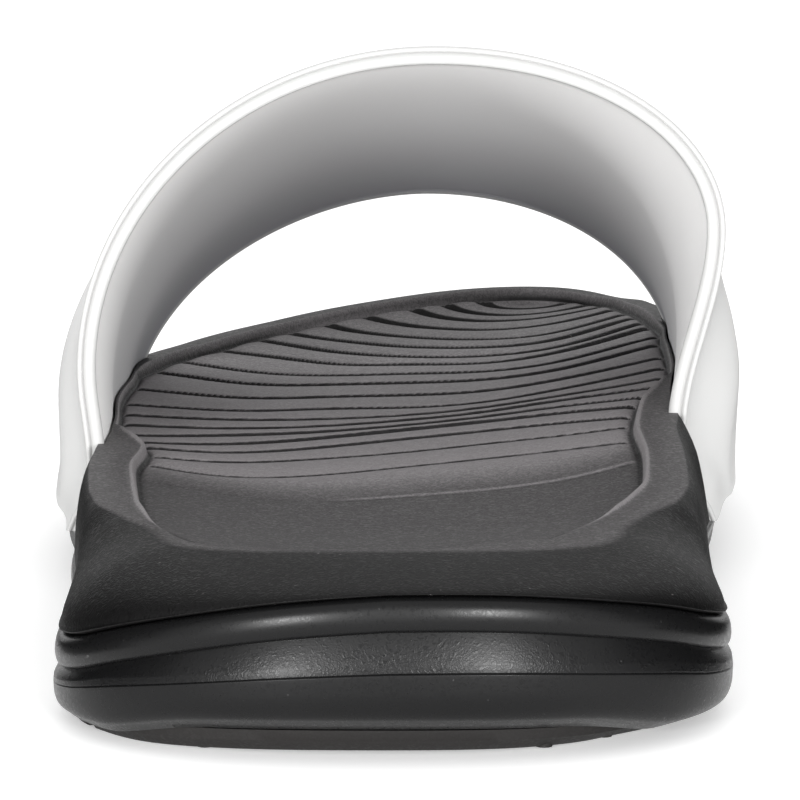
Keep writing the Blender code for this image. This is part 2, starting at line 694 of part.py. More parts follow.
def build_outsole():
    """The tread: cross lugs between straight grooves that run out at both sides."""
    centres = np.linspace(FIRST_GROOVE, LAST_GROOVE, GROOVE_COUNT) * SOLE_LENGTH
    offsets = np.array([-0.5, -0.5 + GROOVE_DRAFT, 0.5 - GROOVE_DRAFT, 0.5])
    lengths = {}
    for name in ("outer", "inner"):
        cuts = (centres[:, None] + offsets * GROOVE_WIDTH).ravel()
        total = SIDES[name]["length"][-1]
        first, last = length_at(name, cuts[0]), length_at(name, cuts[-1])
        heel = np.linspace(0, first, TREAD_HEEL_STEPS, endpoint=False)
        toe = np.linspace(last, total, TREAD_TOE_STEPS + 1)[1:]
        lengths[name] = np.concatenate((heel, length_at(name, cuts), toe))
    floor = np.tile([False, True, True, False], GROOVE_COUNT)
    grooves = np.pad(floor, (TREAD_HEEL_STEPS, TREAD_TOE_STEPS))
    grooves = np.concatenate((grooves, grooves[-2:0:-1]))
    body = Shell()
    for i, (inset, rise) in enumerate(zip(OUTSOLE_PROFILE["inset"], OUTSOLE_PROFILE["rise"])):
        def tread_height(name, place, at, share=rise):
            return ground(place) + OUTSOLE_THICKNESS * share

        clear = PIECE_GAP if rise == 1 else 0.0
        points = ring(lengths, undercut(inset, 1, clear), tread_height)
        lift = LUG_DEPTH * (1 - rise) if rise < 1 else 0
        points[grooves, 2] += lift
        current = body.next_ring(points)
        if i == 0:
            body.fill(current, FLAT_COLUMNS, straight_rung(FLAT_COLUMNS))
    body.fill(body.last, FLAT_COLUMNS, straight_rung(FLAT_COLUMNS))
    return body


def build_strap():
    across = np.gradient(LINING, axis=1)
    lengthways = np.gradient(LINING, axis=0)
    outward = np.cross(across, lengthways)
    outward /= np.linalg.norm(outward, axis=2)[..., None]
    if outward[HOOP_COUNT // 2, HOOP_STEPS // 2, 2] < 0:
        outward = -outward
    foot = LINING[:, :1, 2]
    level = np.clip((LINING[..., 2] - foot) / (FOOT_LEVEL * STRAP_WALL), 0, 1)
    outward[..., 2] = np.where(outward[..., 2] < 0, outward[..., 2] * level, outward[..., 2])
    outward[:, (0, -1), 2] = 0
    outward /= np.linalg.norm(outward, axis=2)[..., None]
    sides = [strap_wall(name, HOOP_PLACES[:, None], LINING[..., 2]) for name in SIGN]
    wall = np.where(np.arange(HOOP_STEPS + 1) < HOOP_STEPS / 2, *sides)
    cover = LINING + outward * wall[..., None]
    roll = np.array((0, EDGE_ROLL, 0))
    rear = (LINING[0] + cover[0]) / 2 - roll
    front = (LINING[-1] + cover[-1]) / 2 + roll
    body = Shell()
    loops = [rear] + list(cover) + [front] + list(LINING[::-1])
    rows = [body.add(points) for points in loops]
    count = len(rows)
    for r in range(count):
        for i in range(HOOP_STEPS):
            a, b = rows[r], rows[(r + 1) % count]
            body.faces.append((a[i], a[i + 1], b[i + 1], b[i]))
    for end in (0, HOOP_STEPS):
        body.faces.append((rows[0][end], rows[1][end], rows[-1][end]))
        for i in range(1, HOOP_COUNT):
            body.faces.append((rows[i][end], rows[i + 1][end], rows[-i - 1][end], rows[-i][end]))
        middle = HOOP_COUNT + 1
        body.faces.append((rows[middle - 1][end], rows[middle][end], rows[middle + 1][end]))
    return body


def make_material(name, colour, roughness):
    material = bpy.data.materials.new(name)
    material.use_nodes = True
    shader = material.node_tree.nodes["Principled BSDF"]
    shader.inputs["Base Color"].default_value = (*colour, 1)
    shader.inputs["Roughness"].default_value = roughness
    shader.inputs["Metallic"].default_value = 0
    return material


def make_object(name, body, shift, collection):
    mesh = bpy.data.meshes.new(name)
    points = np.array(body.points) + shift
    mesh.from_pydata(points.tolist(), [], [list(map(int, face)) for face in body.faces])
    work = bmesh.new()
    work.from_mesh(mesh)
    bmesh.ops.recalc_face_normals(work, faces=work.faces)
    bmesh.ops.triangulate(work, faces=work.faces, quad_method="FIXED")
    work.to_mesh(mesh)
    work.free()
    mesh.shade_smooth()
    mesh.set_sharp_from_angle(angle=SHARP_ANGLE)
    mesh.materials.append(make_material(*MATERIALS[name]))
    piece = bpy.data.objects.new(name, mesh)
    collection.objects.link(piece)
    return piece


def main():
    for piece in list(bpy.data.objects):
        bpy.data.objects.remove(piece, do_unlink=True)
    collection = bpy.data.collections.new(COLLECTION_NAME)
    bpy.context.scene.collection.children.link(collection)
    bodies = {
        "outsole": build_outsole(),
        "midsole": build_midsole(),
        "footbed": build_footbed(),
        "strap": build_strap(),
    }
    every = np.concatenate([np.array(body.points) for body in bodies.values()])
    low, high = every.min(axis=0), every.max(axis=0)
    shift = -np.array(((low[0] + high[0]) / 2, (low[1] + high[1]) / 2, low[2]))
    for name, body in bodies.items():
        make_object(name, body, shift, collection)


main()
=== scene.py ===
import json
import math

import bmesh
import bpy
import numpy as np
from mathutils import Matrix

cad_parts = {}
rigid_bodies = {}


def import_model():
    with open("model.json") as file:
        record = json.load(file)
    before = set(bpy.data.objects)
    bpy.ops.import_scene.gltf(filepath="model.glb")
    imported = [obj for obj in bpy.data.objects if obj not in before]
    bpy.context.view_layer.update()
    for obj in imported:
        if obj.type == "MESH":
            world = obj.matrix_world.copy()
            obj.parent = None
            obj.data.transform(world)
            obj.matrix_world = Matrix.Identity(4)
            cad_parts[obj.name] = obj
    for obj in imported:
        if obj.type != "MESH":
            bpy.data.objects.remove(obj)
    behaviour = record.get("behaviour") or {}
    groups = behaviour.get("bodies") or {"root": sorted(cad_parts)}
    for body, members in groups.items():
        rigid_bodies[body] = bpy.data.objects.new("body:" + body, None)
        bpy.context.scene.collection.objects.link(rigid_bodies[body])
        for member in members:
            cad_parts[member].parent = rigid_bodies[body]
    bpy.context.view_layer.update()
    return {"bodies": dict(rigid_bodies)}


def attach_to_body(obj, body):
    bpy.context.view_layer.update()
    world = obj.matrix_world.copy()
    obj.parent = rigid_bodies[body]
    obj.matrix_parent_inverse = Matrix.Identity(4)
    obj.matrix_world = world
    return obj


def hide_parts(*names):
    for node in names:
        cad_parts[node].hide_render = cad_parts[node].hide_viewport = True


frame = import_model()
body = list(frame["bodies"])[0]
print("frame loaded, body", body)


def table(rows):
    # columns of a table by name, as arrays
    values = np.array(rows[1:], float)
    return {name: values[:, i] for i, name in enumerate(rows[0])}


# The sole's own sizes. recessGap is the strap's play in its recess.
sole = {
    "length": 0.290,
    "ballWidth": 0.1046,
    "heelWidth": 0.0830,
    "heelHeight": 0.0220,
    "instepHeight": 0.0757,
    "toeSpring": 0.0120,
    "heelLift": 0.0016,
    "archLift": 0.0016,
    "outsoleThickness": 0.0026,
    "beadHeight": 0.0041,
    "creaseDepth": 0.0019,
    "bedStep": 0.0016,
    "lipHeight": 0.0015,
    "gap": 0.0003,
    "recessGap": 0.00012,
}
heelArcEnd, heelArcPower, heelLiftEnd = 0.117, 2.35, 0.06
archStart, archEnd = 0.33, 0.54
toeSpringStart, toeSpringPower = 0.71, 1.8
widthBlendStart, widthBlendEnd = 0.12, 0.55
acrossBlend, acrossMargin = 0.06, 1.3

# How finely the sole is divided along the heel, beside the strap and along the toe
soleSteps = {"heel": 225, "strap": 200, "toe": 190}
outlineSamples, heelArcPoints = 12000, 7

# Reach of each side of the outline, as shares of the half width there
outline = table((
    ("along", "outer", "inner"),
    (0.172, 0.993, 0.985),
    (0.250, 0.996, 0.956),
    (0.310, 0.991, 0.930),
    (0.355, 0.976, 0.910),
    (0.400, 0.974, 0.914),
    (0.450, 0.994, 0.930),
    (0.500, 1.008, 0.950),
    (0.550, 1.020, 0.968),
    (0.600, 1.021, 0.975),
    (0.650, 1.010, 0.980),
    (0.700, 0.975, 0.976),
    (0.741, 0.917, 0.966),
    (0.783, 0.832, 0.951),
    (0.838, 0.700, 0.914),
    (0.886, 0.541, 0.858),
    (0.9155, 0.402, 0.813),
    (0.941, 0.250, 0.765),
    (0.962, 0.105, 0.715),
    (0.982, -0.055, 0.640),
    (0.9955, -0.225, 0.530),
))
toeTip = 0.382

# Insets from the outline, as shares of the half width: edge is the top of the side wall, bed the
# border of the sunk foot bed, under the edge of the tread
insets = table((
    ("along", "outerEdge", "innerEdge", "outerBed", "innerBed", "outerUnder", "innerUnder"),
    (0.000, 0.490, 0.490, 0.525, 0.525, 0.200, 0.200),
    (0.004, 0.470, 0.475, 0.510, 0.575, 0.190, 0.210),
    (0.014, 0.435, 0.450, 0.490, 0.620, 0.175, 0.235),
    (0.035, 0.398, 0.410, 0.462, 0.608, 0.145, 0.260),
    (0.062, 0.362, 0.373, 0.436, 0.572, 0.120, 0.230),
    (0.095, 0.342, 0.350, 0.388, 0.532, 0.075, 0.165),
    (0.120, 0.305, 0.335, 0.338, 0.485, 0.060, 0.115),
    (0.155, 0.190, 0.255, 0.265, 0.370, 0.060, 0.095),
    (0.190, 0.088, 0.130, 0.218, 0.282, 0.065, 0.095),
    (0.230, 0.062, 0.088, 0.206, 0.222, 0.070, 0.095),
    (0.290, 0.065, 0.092, 0.202, 0.212, 0.075, 0.095),
    (0.350, 0.078, 0.104, 0.224, 0.226, 0.080, 0.100),
    (0.385, 0.085, 0.110, 0.194, 0.232, 0.080, 0.105),
    (0.430, 0.095, 0.120, 0.150, 0.240, 0.080, 0.110),
    (0.500, 0.110, 0.120, 0.134, 0.205, 0.080, 0.110),
    (0.560, 0.110, 0.115, 0.134, 0.174, 0.075, 0.105),
    (0.620, 0.110, 0.112, 0.160, 0.178, 0.070, 0.095),
    (0.690, 0.112, 0.112, 0.200, 0.168, 0.075, 0.085),
    (0.740, 0.112, 0.112, 0.208, 0.174, 0.085, 0.085),
    (0.790, 0.102, 0.102, 0.202, 0.186, 0.100, 0.095),
    (0.850, 0.082, 0.080, 0.182, 0.182, 0.120, 0.115),
    (0.920, 0.062, 0.060, 0.158, 0.158, 0.140, 0.140),
    (1.000, 0.048, 0.048, 0.150, 0.150, 0.150, 0.150),
))

# How far the lower side leans in at the arch, as shares of the half width
lean = table((
    ("along", "outer", "inner"),
    (0.000, 0.000, 0.000),
    (0.300, 0.005, 0.005),
    (0.380, 0.042, 0.065),
    (0.450, 0.050, 0.105),
    (0.520, 0.040, 0.135),
    (0.600, 0.020, 0.100),
    (0.680, 0.000, 0.050),
    (0.760, 0.000, 0.010),
    (1.000, 0.000, 0.000),
))
beadLean = 0.40

# Heights of the side's lines, as shares of the heel height, over the toe's rise
sideLines = table((
    ("along", "crease", "parting", "outerRim", "innerRim", "bedDip"),
    (0.000, 0.900, 0.500, 1.000, 1.000, 0.010),
    (0.014, 0.830, 0.455, 1.000, 1.000, 0.015),
    (0.035, 0.745, 0.400, 1.000, 1.000, 0.020),
    (0.062, 0.645, 0.330, 1.000, 1.000, 0.030),
    (0.103, 0.560, 0.275, 1.003, 1.005, 0.045),
    (0.172, 0.515, 0.250, 1.014, 1.025, 0.065),
    (0.250, 0.495, 0.240, 1.028, 1.080, 0.075),
    (0.355, 0.470, 0.225, 1.048, 1.170, 0.085),
    (0.400, 0.465, 0.220, 1.052, 1.195, 0.095),
    (0.520, 0.470, 0.225, 1.062, 1.250, 0.110),
    (0.700, 0.500, 0.245, 1.100, 1.295, 0.090),
    (0.770, 0.500, 0.255, 1.070, 1.270, 0.070),
    (0.880, 0.450, 0.240, 0.920, 1.070, 0.045),
    (0.950, 0.400, 0.220, 0.800, 0.870, 0.030),
    (1.000, 0.370, 0.210, 0.727, 0.727, 0.020),
))

# The strap's lining, a row for each hoop from the rear edge to the front one
hoops = table((
    ("outerAlong", "topAlong", "innerAlong", "crownWidth", "crownHeight",
     "outerWidth", "outerHeight", "outerPower", "outerTuck",
     "innerWidth", "innerHeight", "innerPower", "innerTuck"),
    (0.365, 0.409, 0.396, 0.085, 1.000, 0.922, 0.440, 2.02, 0.034, 0.965, 0.690, 2.05, 0.115),
    (0.478, 0.492, 0.520, 0.080, 0.912, 0.845, 0.340, 2.10, 0.000, 0.818, 0.440, 2.10, 0.012),
    (0.592, 0.581, 0.648, 0.068, 0.800, 0.846, 0.240, 2.00, 0.000, 0.822, 0.320, 2.10, 0.000),
    (0.702, 0.669, 0.762, 0.053, 0.686, 0.915, 0.180, 1.85, 0.000, 0.890, 0.240, 2.00, 0.000),
))

# Sections of the side wall over the crease, from its foot up: how much of the edge's inset it
# has where it bulges, at the heel, and where it stands straight, beside the strap
wallProfile = table((
    ("bulged", "straight", "rise"),
    (0.02, 0.03, 0.04),
    (0.03, 0.08, 0.13),
    (0.07, 0.15, 0.27),
    (0.16, 0.26, 0.45),
    (0.32, 0.42, 0.65),
    (0.55, 0.69, 0.84),
    (0.78, 0.89, 0.95),
    (1.00, 1.00, 1.00),
))
bulgedEnd, straightStart, wallFoot = 0.25, 0.38, 0.38
# Sections of the bead under the crease and of the lower side, from the top down. Insets are
# shares of the crease's depth and of the inset under the tread, drops of each one's height.
beadProfile = table((
    ("inset", "drop"),
    (1.00, 0.02),
    (0.72, 0.04),
    (0.42, 0.13),
    (0.20, 0.32),
    (0.12, 0.60),
    (0.20, 0.84),
    (0.42, 0.98),
    (0.62, 1.02),
))
lowerProfile = table((
    ("inset", "drop"),
    (0.02, -0.22),
    (0.00, 0.04),
    (0.01, 0.40),
    (0.06, 0.70),
    (0.16, 0.90),
    (0.30, 1.00),
))
# Where along the sole, as shares of its length, the tread's lip, the straight rungs of the bed,
# its step and the blend of both rims start and end
lipStart, lipFull = 0.010, 0.045
bedStart, bedEnd = 0.16, 0.82
stepStart, stepFull = 0.07, 0.19
rimBlend = 0.88
# Insets of lip and seat as shares of the one under the tread, the narrowest rim in metres, the
# step's lowest share at the heel, and how finely flat sides are divided
lipInset, seatInset, leastRim, leastStep, plainColumns = 0.50, 0.60, 0.0005, 0.35, 4
sign = {"outer": -1, "inner": 1}


def smoothStep(t):
    t = np.clip(t, 0.0, 1.0)
    return t * t * (3.0 - 2.0 * t)


def between(value, start, end):
    # how far a value has come from start to end, eased at both
    return smoothStep((value - start) / (end - start))


def mix(a, b, share):
    return a + (b - a) * share


def unit(vectors, least=0.0):
    # vectors of length one, apart from those shorter than least, which stay shorter
    return vectors / np.maximum(np.linalg.norm(vectors, axis=-1, keepdims=True), least)


def runOf(points):
    # distance along a row of points, or along several rows side by side
    step = np.linalg.norm(np.diff(points, axis=0), axis=-1)
    return np.concatenate((np.zeros((1, *step.shape[1:])), np.cumsum(step, axis=0)))


def pointsAt(places, run, points):
    return np.stack([np.interp(places, run, column) for column in points.T], axis=-1)


def cubic(b, ends, bends, h):
    # a cubic piece of length h, a share b along it, from its end values and second derivatives
    a = 1 - b
    return a * ends[0] + b * ends[1] + ((a ** 3 - a) * bends[0] + (b ** 3 - b) * bends[1]) * h * h / 6


def through(xs, ys, x):
    # smooth curve through a table's values that doesn't overshoot them
    step = np.diff(xs)
    slope = np.diff(ys) / step
    tangent = np.zeros(len(xs))
    tangent[0], tangent[-1] = slope[0], slope[-1]
    same = slope[:-1] * slope[1:] > 0
    before, after = step[:-1], step[1:]
    w1, w2 = 2 * after + before, after + 2 * before
    with np.errstate(divide="ignore", invalid="ignore"):
        mean = (w1 + w2) / (w1 / slope[:-1] + w2 / slope[1:])
    tangent[1:-1] = np.where(same, mean, 0.0)
    x = np.clip(x, xs[0], xs[-1])
    i = np.clip(np.searchsorted(xs, x) - 1, 0, len(xs) - 2)
    t = (x - xs[i]) / step[i]
    rise = (1 - t) * ys[i] + t * ys[i + 1]
    bend = t * (1 - t) * ((1 - t) * (tangent[i] - slope[i]) - t * (tangent[i + 1] - slope[i]))
    return rise + bend * step[i]


def finer(profile, name, count):
    # a profile's column at evenly spaced places between its first and last rows
    rows = np.arange(len(profile[name]), dtype=float)
    return through(rows, profile[name], np.linspace(0, rows[-1], count))


def columnAt(rows, name, along):
    return through(rows["along"], rows[name], along)


def closedSpline(points, samples):
    # points along a closed cubic curve through the given ones
    points = np.array(points, float)
    count = len(points)
    following = np.roll(points, -1, axis=0)
    chord = np.linalg.norm(following - points, axis=1)
    system = np.zeros((count, count))
    for i in range(count):
        system[i, i - 1] = chord[i - 1]
        system[i, i] = 2 * (chord[i - 1] + chord[i])
        system[i, (i + 1) % count] = chord[i]
    slope = (following - points) / chord[:, None]
    bend = np.linalg.solve(system, 6 * (slope - np.roll(slope, 1, axis=0)))
    knots = np.concatenate(([0.0], np.cumsum(chord)))
    place = np.linspace(0, knots[-1], samples, endpoint=False)
    i = np.clip(np.searchsorted(knots, place, side="right") - 1, 0, count - 1)
    j = (i + 1) % count
    b = ((place - knots[i]) / chord[i])[:, None]
    return cubic(b, (points[i], points[j]), (bend[i], bend[j]), chord[i][:, None])


def halfWidth(along):
    return mix(sole["heelWidth"], sole["ballWidth"], between(along, widthBlendStart, widthBlendEnd)) / 2


def toeRise(along):
    t = np.clip((along - toeSpringStart) / (1 - toeSpringStart), 0, 1)
    return sole["toeSpring"] * t ** toeSpringPower


def ground(along):
    # underside of the tread
    heel = sole["heelLift"] * np.clip(1 - along / heelLiftEnd, 0, 1) ** 2
    arch = np.clip((along - archStart) / (archEnd - archStart), 0, 1)
    return heel + sole["archLift"] * np.sin(np.pi * arch) ** 2 + toeRise(along)


def sideLine(name, along):
    return sole["heelHeight"] * columnAt(sideLines, name, along) + toeRise(along)


# How much each side's lines stand off their height round the heel: rise at full width, and
# how far along it has faded out
sideTilt = {
    ("crease", "outer"): (-0.0025, 0.18),
    ("crease", "inner"): (0.0006, 0.34),
    ("parting", "outer"): (-0.00145, 0.34),
    ("parting", "inner"): (0.0005, 0.34),
}
tiltStart = 0.03


def tiltedLine(column, name, along):
    rise, end = sideTilt[column, name]
    width = reachAt(name, along * sole["length"]) / (sole["heelWidth"] / 2)
    return sideLine(column, along) + rise * np.clip(width, 0, 1) * (1 - between(along, tiltStart, end))


def soleOutline():
    # both sides of the outline, from the heel's back to the toe's tip
    control = {}
    for name in sign:
        turn = np.linspace(0, np.pi / 2, heelArcPoints)[1:]
        arcX = sole["heelWidth"] / 2 * np.sin(turn) ** (2 / heelArcPower)
        arcY = heelArcEnd * (1 - np.cos(turn) ** (2 / heelArcPower))
        along = np.concatenate((arcY, outline["along"]))
        reach = np.concatenate((arcX, outline[name] * halfWidth(outline["along"])))
        control[name] = np.stack((reach, along * sole["length"]), axis=1)
    tip = [(toeTip * sole["ballWidth"] / 2, sole["length"])]
    loop = np.concatenate(([(0, 0)], control["outer"] * (-1, 1), tip, control["inner"][::-1]))
    dense = closedSpline(loop, outlineSamples)
    top = int(np.argmax(dense[:, 1]))
    sides = {}
    for name, side in (("outer", dense[:top + 1]), ("inner", np.roll(dense[::-1], 1, axis=0))):
        side = side[:len(dense) - top + 1] if name == "inner" else side
        tangent = unit(np.gradient(side, axis=0))
        inward = np.stack((tangent[:, 1], -tangent[:, 0]), axis=1) * -sign[name]
        sides[name] = {"point": side, "inward": inward, "length": runOf(side)}
    return sides


sides = soleOutline()


def recessEnds(name):
    clear = strap["edgeRoll"] + sole["gap"]
    ends = hoops[name + "Along"][[0, -1]] * sole["length"]
    return ends[0] - clear, ends[1] + clear


def onOutline(name, length):
    # points and inward directions, straight across the sole beside the strap
    side = sides[name]
    point, inward = (pointsAt(length, side["length"], side[kind]) for kind in ("point", "inward"))
    start, end = [y / sole["length"] for y in recessEnds(name)]
    along = point[..., 1] / sole["length"]
    beside = smoothStep((along - start) / acrossBlend + acrossMargin)
    beside = beside * smoothStep((end - along) / acrossBlend + acrossMargin)
    inward = inward * (1 - beside)[..., None]
    inward[..., 0] -= sign[name] * beside
    return point, inward


def lengthAt(name, y):
    return np.interp(y, sides[name]["point"][:, 1], sides[name]["length"])


def reachAt(name, y):
    return np.abs(np.interp(y, sides[name]["point"][:, 1], sides[name]["point"][:, 0]))


def stations(name):
    # distances along a side, with a close pair at each end of the strap's recess
    start, end = [lengthAt(name, y) for y in recessEnds(name)]
    heel = np.linspace(0, start, soleSteps["heel"])
    pair = sole["gap"] / 2
    middle = np.linspace(start + pair, end - pair, soleSteps["strap"])
    toe = np.linspace(end, sides[name]["length"][-1], soleSteps["toe"])
    inside = np.zeros(sum(soleSteps.values()), bool)
    inside[soleSteps["heel"]:soleSteps["heel"] + soleSteps["strap"]] = True
    return np.concatenate((heel, middle, toe)), inside


def ring(lengths, inset, height):
    # a closed ring round the sole, inset from its outline
    loop = []
    for name in ("outer", "inner"):
        point, inward = onOutline(name, lengths[name])
        along = point[:, 1] / sole["length"]
        place = point + inward * inset(name, along)[:, None]
        z = height(name, place[:, 1] / sole["length"], along)
        side = np.concatenate((place, z[:, None]), axis=1)
        loop.append(side if name == "outer" else side[-2:0:-1])
    return np.concatenate(loop)


class Shell:
    # a closed body made of rings from its underside to its top
    def __init__(self):
        self.points, self.faces, self.last, self.count = [], [], None, 0

    def add(self, points):
        points = np.atleast_2d(points)
        self.points.append(points)
        first = self.count
        self.count += len(points)
        return np.arange(first, self.count)

    def nextRing(self, points):
        current = self.add(points)
        if self.last is not None:
            self.bridge(self.last, current)
        self.last = current
        return current

    def bridge(self, low, high, closed=True):
        a, b = (np.roll(low, -1), np.roll(high, -1)) if closed else (low[1:], high[1:])
        low, high = (low, high) if closed else (low[:-1], high[:-1])
        self.faces += np.stack((low, a, b, high), axis=1).tolist()

    def fill(self, loop, points, columns, shape):
        # close a ring with rungs from side to side
        rungs = len(loop) // 2
        rows = [np.full(columns + 1, loop[0])]
        for k in range(1, rungs):
            between = self.add(shape(points[k], points[-k]))
            rows.append(np.concatenate(([loop[k]], between, [loop[-k]])))
        rows.append(np.full(columns + 1, loop[rungs]))
        for k in range(rungs):
            for j in range(columns):
                corners = (rows[k][j], rows[k][j + 1], rows[k + 1][j + 1], rows[k + 1][j])
                face = [int(c) for i, c in enumerate(corners) if c != corners[i - 1]]
                if len(face) > 2:
                    self.faces.append(face)

    def flatRing(self, points, columns):
        # a ring that is closed straight across, as an underside or a top
        self.fill(self.nextRing(points), points, columns, straightRung(columns))

    def allPoints(self):
        return np.concatenate(self.points)


def straightRung(columns):
    shares = np.linspace(0, 1, columns + 1)[1:-1, None]
    return lambda left, right: mix(left, right, shares)


def constant(value):
    return lambda name, along: np.full(len(along), value)


def insetOf(column):
    return lambda name, along: columnAt(insets, name + column, along) * halfWidth(along)


def undercut(share, leanShare, extra=0.0):
    def inset(name, along):
        under = columnAt(insets, name + "Under", along) * share
        return (under + columnAt(lean, name, along) * leanShare) * halfWidth(along) + extra
    return inset


def creaseHeight(drop):
    return lambda name, place, at: tiltedLine("crease", name, at) - drop


def rimHeight(name, place, at):
    # the two sides' rims come to one height at the toe's tip
    facing = {"outer": "inner", "inner": "outer"}[name]
    own, other = sideLine(name + "Rim", place), sideLine(facing + "Rim", place)
    return own + (other - own) / 2 * between(at, rimBlend, 1)


# The strap: one padded synthetic wall with a doubled bead along its rear edge. padTop and padFade
# are shares of the instep height, edgeTaper and seamShare of the way over, footLevel of the wall.
strap = {
    "wall": 0.0040,
    "outerPad": 0.0040,
    "innerPad": 0.0060,
    "edge": 0.0027,
    "edgeRoll": 0.0008,
    "edgeTaper": 0.25,
    "padTop": 0.74,
    "padFade": 0.40,
    "fullFlare": 0.014,
    "footLevel": 3.0,
    "tuckScale": 6.75,
    "outerOverhang": 0.0009,
    "innerOverhang": 0.0002,
    "hoopCount": 76,
    "hoopSteps": 240,
    "edgeRows": 22,
    "seamShare": 0.66,
    "liningRecess": 0.00025,
    "liningStart": 0.0006,
    "hoopSamples": 401,
    "hoopStride": 3,
    "secondBead": 0.85,
    "maskStart": 0.0002,
    "maskEnd": 0.0005,
    "mapLength": 0.24,
    "mapEdge": 0.004,
    "sharpAngle": 60,
}


def strapWall(name, t, height):
    inside = smoothStep(np.minimum(t, 1 - t) / strap["edgeTaper"])
    pad = strap[name + "Pad"] * smoothStep(
        (strap["padTop"] - height / sole["instepHeight"]) / strap["padFade"])
    return strap["edge"] + (strap["wall"] - strap["edge"] + pad) * inside


def hoopValue(name, t):
    return through(np.linspace(0, 1, len(hoops[name])), hoops[name], t)


def hoopSide(name, t, share):
    # one side of the lining: from its foot, share 0, over the widest place to the crown, share 2
    t, share = np.broadcast_arrays(np.asarray(t, float), np.asarray(share, float))
    footY = hoopValue(name + "Along", t) * sole["length"]
    topY = hoopValue("topAlong", t) * sole["length"]
    reach = reachAt(name, footY)
    wideX = hoopValue(name + "Width", t) * reach
    wideZ = hoopValue(name + "Height", t) * sole["instepHeight"]
    footZ = sideLine("crease", footY / sole["length"]) + sole["gap"]
    footX = reach + strap[name + "Overhang"] - strapWall(name, t, footZ)
    wideZ = np.maximum(wideZ, footZ + sole["gap"])
    footX = mix(wideX, footX, smoothStep((wideZ - footZ) / strap["fullFlare"]))
    crownX = sign[name] * hoopValue("crownWidth", t) * sole["ballWidth"] / 2
    crownZ = hoopValue("crownHeight", t) * sole["instepHeight"]
    power = 2 / hoopValue(name + "Power", t)
    low = np.clip(1 - share, 0, 1)
    tuck = hoopValue(name + "Tuck", t) * reach * strap["tuckScale"] * low ** 2 * (1 - low)
    lowX = mix(wideX, footX, low ** 3) - tuck
    lowZ = mix(wideZ, footZ, low)
    turn = np.clip(share - 1, 0, 1) * np.pi / 2
    width = np.clip(np.cos(turn), 0, 1) ** power
    highX = mix(crownX, wideX, width)
    highZ = wideZ + (crownZ - wideZ) * np.sin(turn) ** power
    x = np.where(share <= 1, lowX, highX) * sign[name]
    z = np.where(share <= 1, lowZ, highZ)
    y = np.where(share <= 1, footY, mix(topY, footY, width ** 2))
    return np.stack((x, y, z), axis=-1)


def hoopLine(t):
    # the lining at hoop t, from the outer foot over the crown to the inner foot
    fine = np.linspace(0, 2, strap["hoopSamples"])
    line = np.concatenate((hoopSide("outer", t, fine), hoopSide("inner", t, fine)[::-1][1:]))
    run = runOf(line)
    return pointsAt(np.linspace(0, run[-1], strap["hoopSteps"] + 1), run, line)


hoopPlaces = np.linspace(0, 1, strap["hoopCount"])
lining = np.array([hoopLine(t) for t in hoopPlaces])


def liningX(name, y, z):
    # where the lining's side stands at a place along and a height
    xs, ys = [], []
    half = strap["hoopSteps"] // 2
    for line in lining[::strap["hoopStride"]]:
        side = line[:half] if name == "outer" else line[:half:-1]
        xs.append(np.interp(z, side[:, 2], side[:, 0]))
        ys.append(np.interp(z, side[:, 2], side[:, 1]))
    return np.interp(y, ys, xs)


def strapSurfaces():
    # the lining's directions outwards, level at its feet, and the cover over it
    outward = unit(np.cross(np.gradient(lining, axis=1), np.gradient(lining, axis=0)))
    if outward[len(lining) // 2, strap["hoopSteps"] // 2, 2] < 0:
        outward = -outward
    level = (lining[..., 2] - lining[:, :1, 2]) / (strap["footLevel"] * strap["wall"])
    level = np.clip(level, 0, 1)
    outward[..., 2] = np.where(outward[..., 2] < 0, outward[..., 2] * level, outward[..., 2])
    outward[:, (0, -1), 2] = 0
    outward = unit(outward)
    walls = [strapWall(name, hoopPlaces[:, None], lining[..., 2]) for name in sign]
    wall = np.where(np.arange(strap["hoopSteps"] + 1) < strap["hoopSteps"] / 2, *walls)
    return outward, lining + outward * wall[..., None]


outward, cover = strapSurfaces()

# The model's origin is the middle of its box, and the strap is its widest piece
shift = np.array((-(cover[..., 0].min() + cover[..., 0].max()) / 2, -sole["length"] / 2, 0.0))
print("sole and strap maths ready, shift in mm", (shift * 1000).round(2))


def linked(name, data):
    made = bpy.data.objects.new(name, data)
    bpy.context.scene.collection.objects.link(made)
    return made


def plainMesh(name, points, faces):
    mesh = bpy.data.meshes.new(name)
    mesh.from_pydata((points + shift).tolist(), [], faces)
    mesh.update()
    mesh.shade_smooth()
    return linked(name, mesh)


def setAttribute(piece, name, values):
    attribute = piece.data.attributes.new(name, "FLOAT", "POINT")
    attribute.data.foreach_set("value", np.asarray(values, np.float32))


def turnOutwards(piece):
    work = bmesh.new()
    work.from_mesh(piece.data)
    bmesh.ops.recalc_face_normals(work, faces=work.faces)
    work.to_mesh(piece.data)
    work.free()


def attach(piece, nodeName):
    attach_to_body(piece, body)
    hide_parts(nodeName)


def feed(tree, socket, value):
    # link a socket to another one, or set its value
    if isinstance(value, bpy.types.NodeSocket):
        tree.links.new(value, socket)
    else:
        socket.default_value = value


def node(tree, kind, settings=None, **inputs):
    made = tree.nodes.new(kind)
    for key, value in (settings or {}).items():
        setattr(made, key, value)
    for key, value in inputs.items():
        feed(tree, made.inputs[int(key[1:]) if key[1:].isdigit() else key.replace("_", " ")], value)
    return made


def mathNode(tree, operation, a, b=0.5):
    return node(tree, "ShaderNodeMath", {"operation": operation}, i0=a, i1=b).outputs[0]


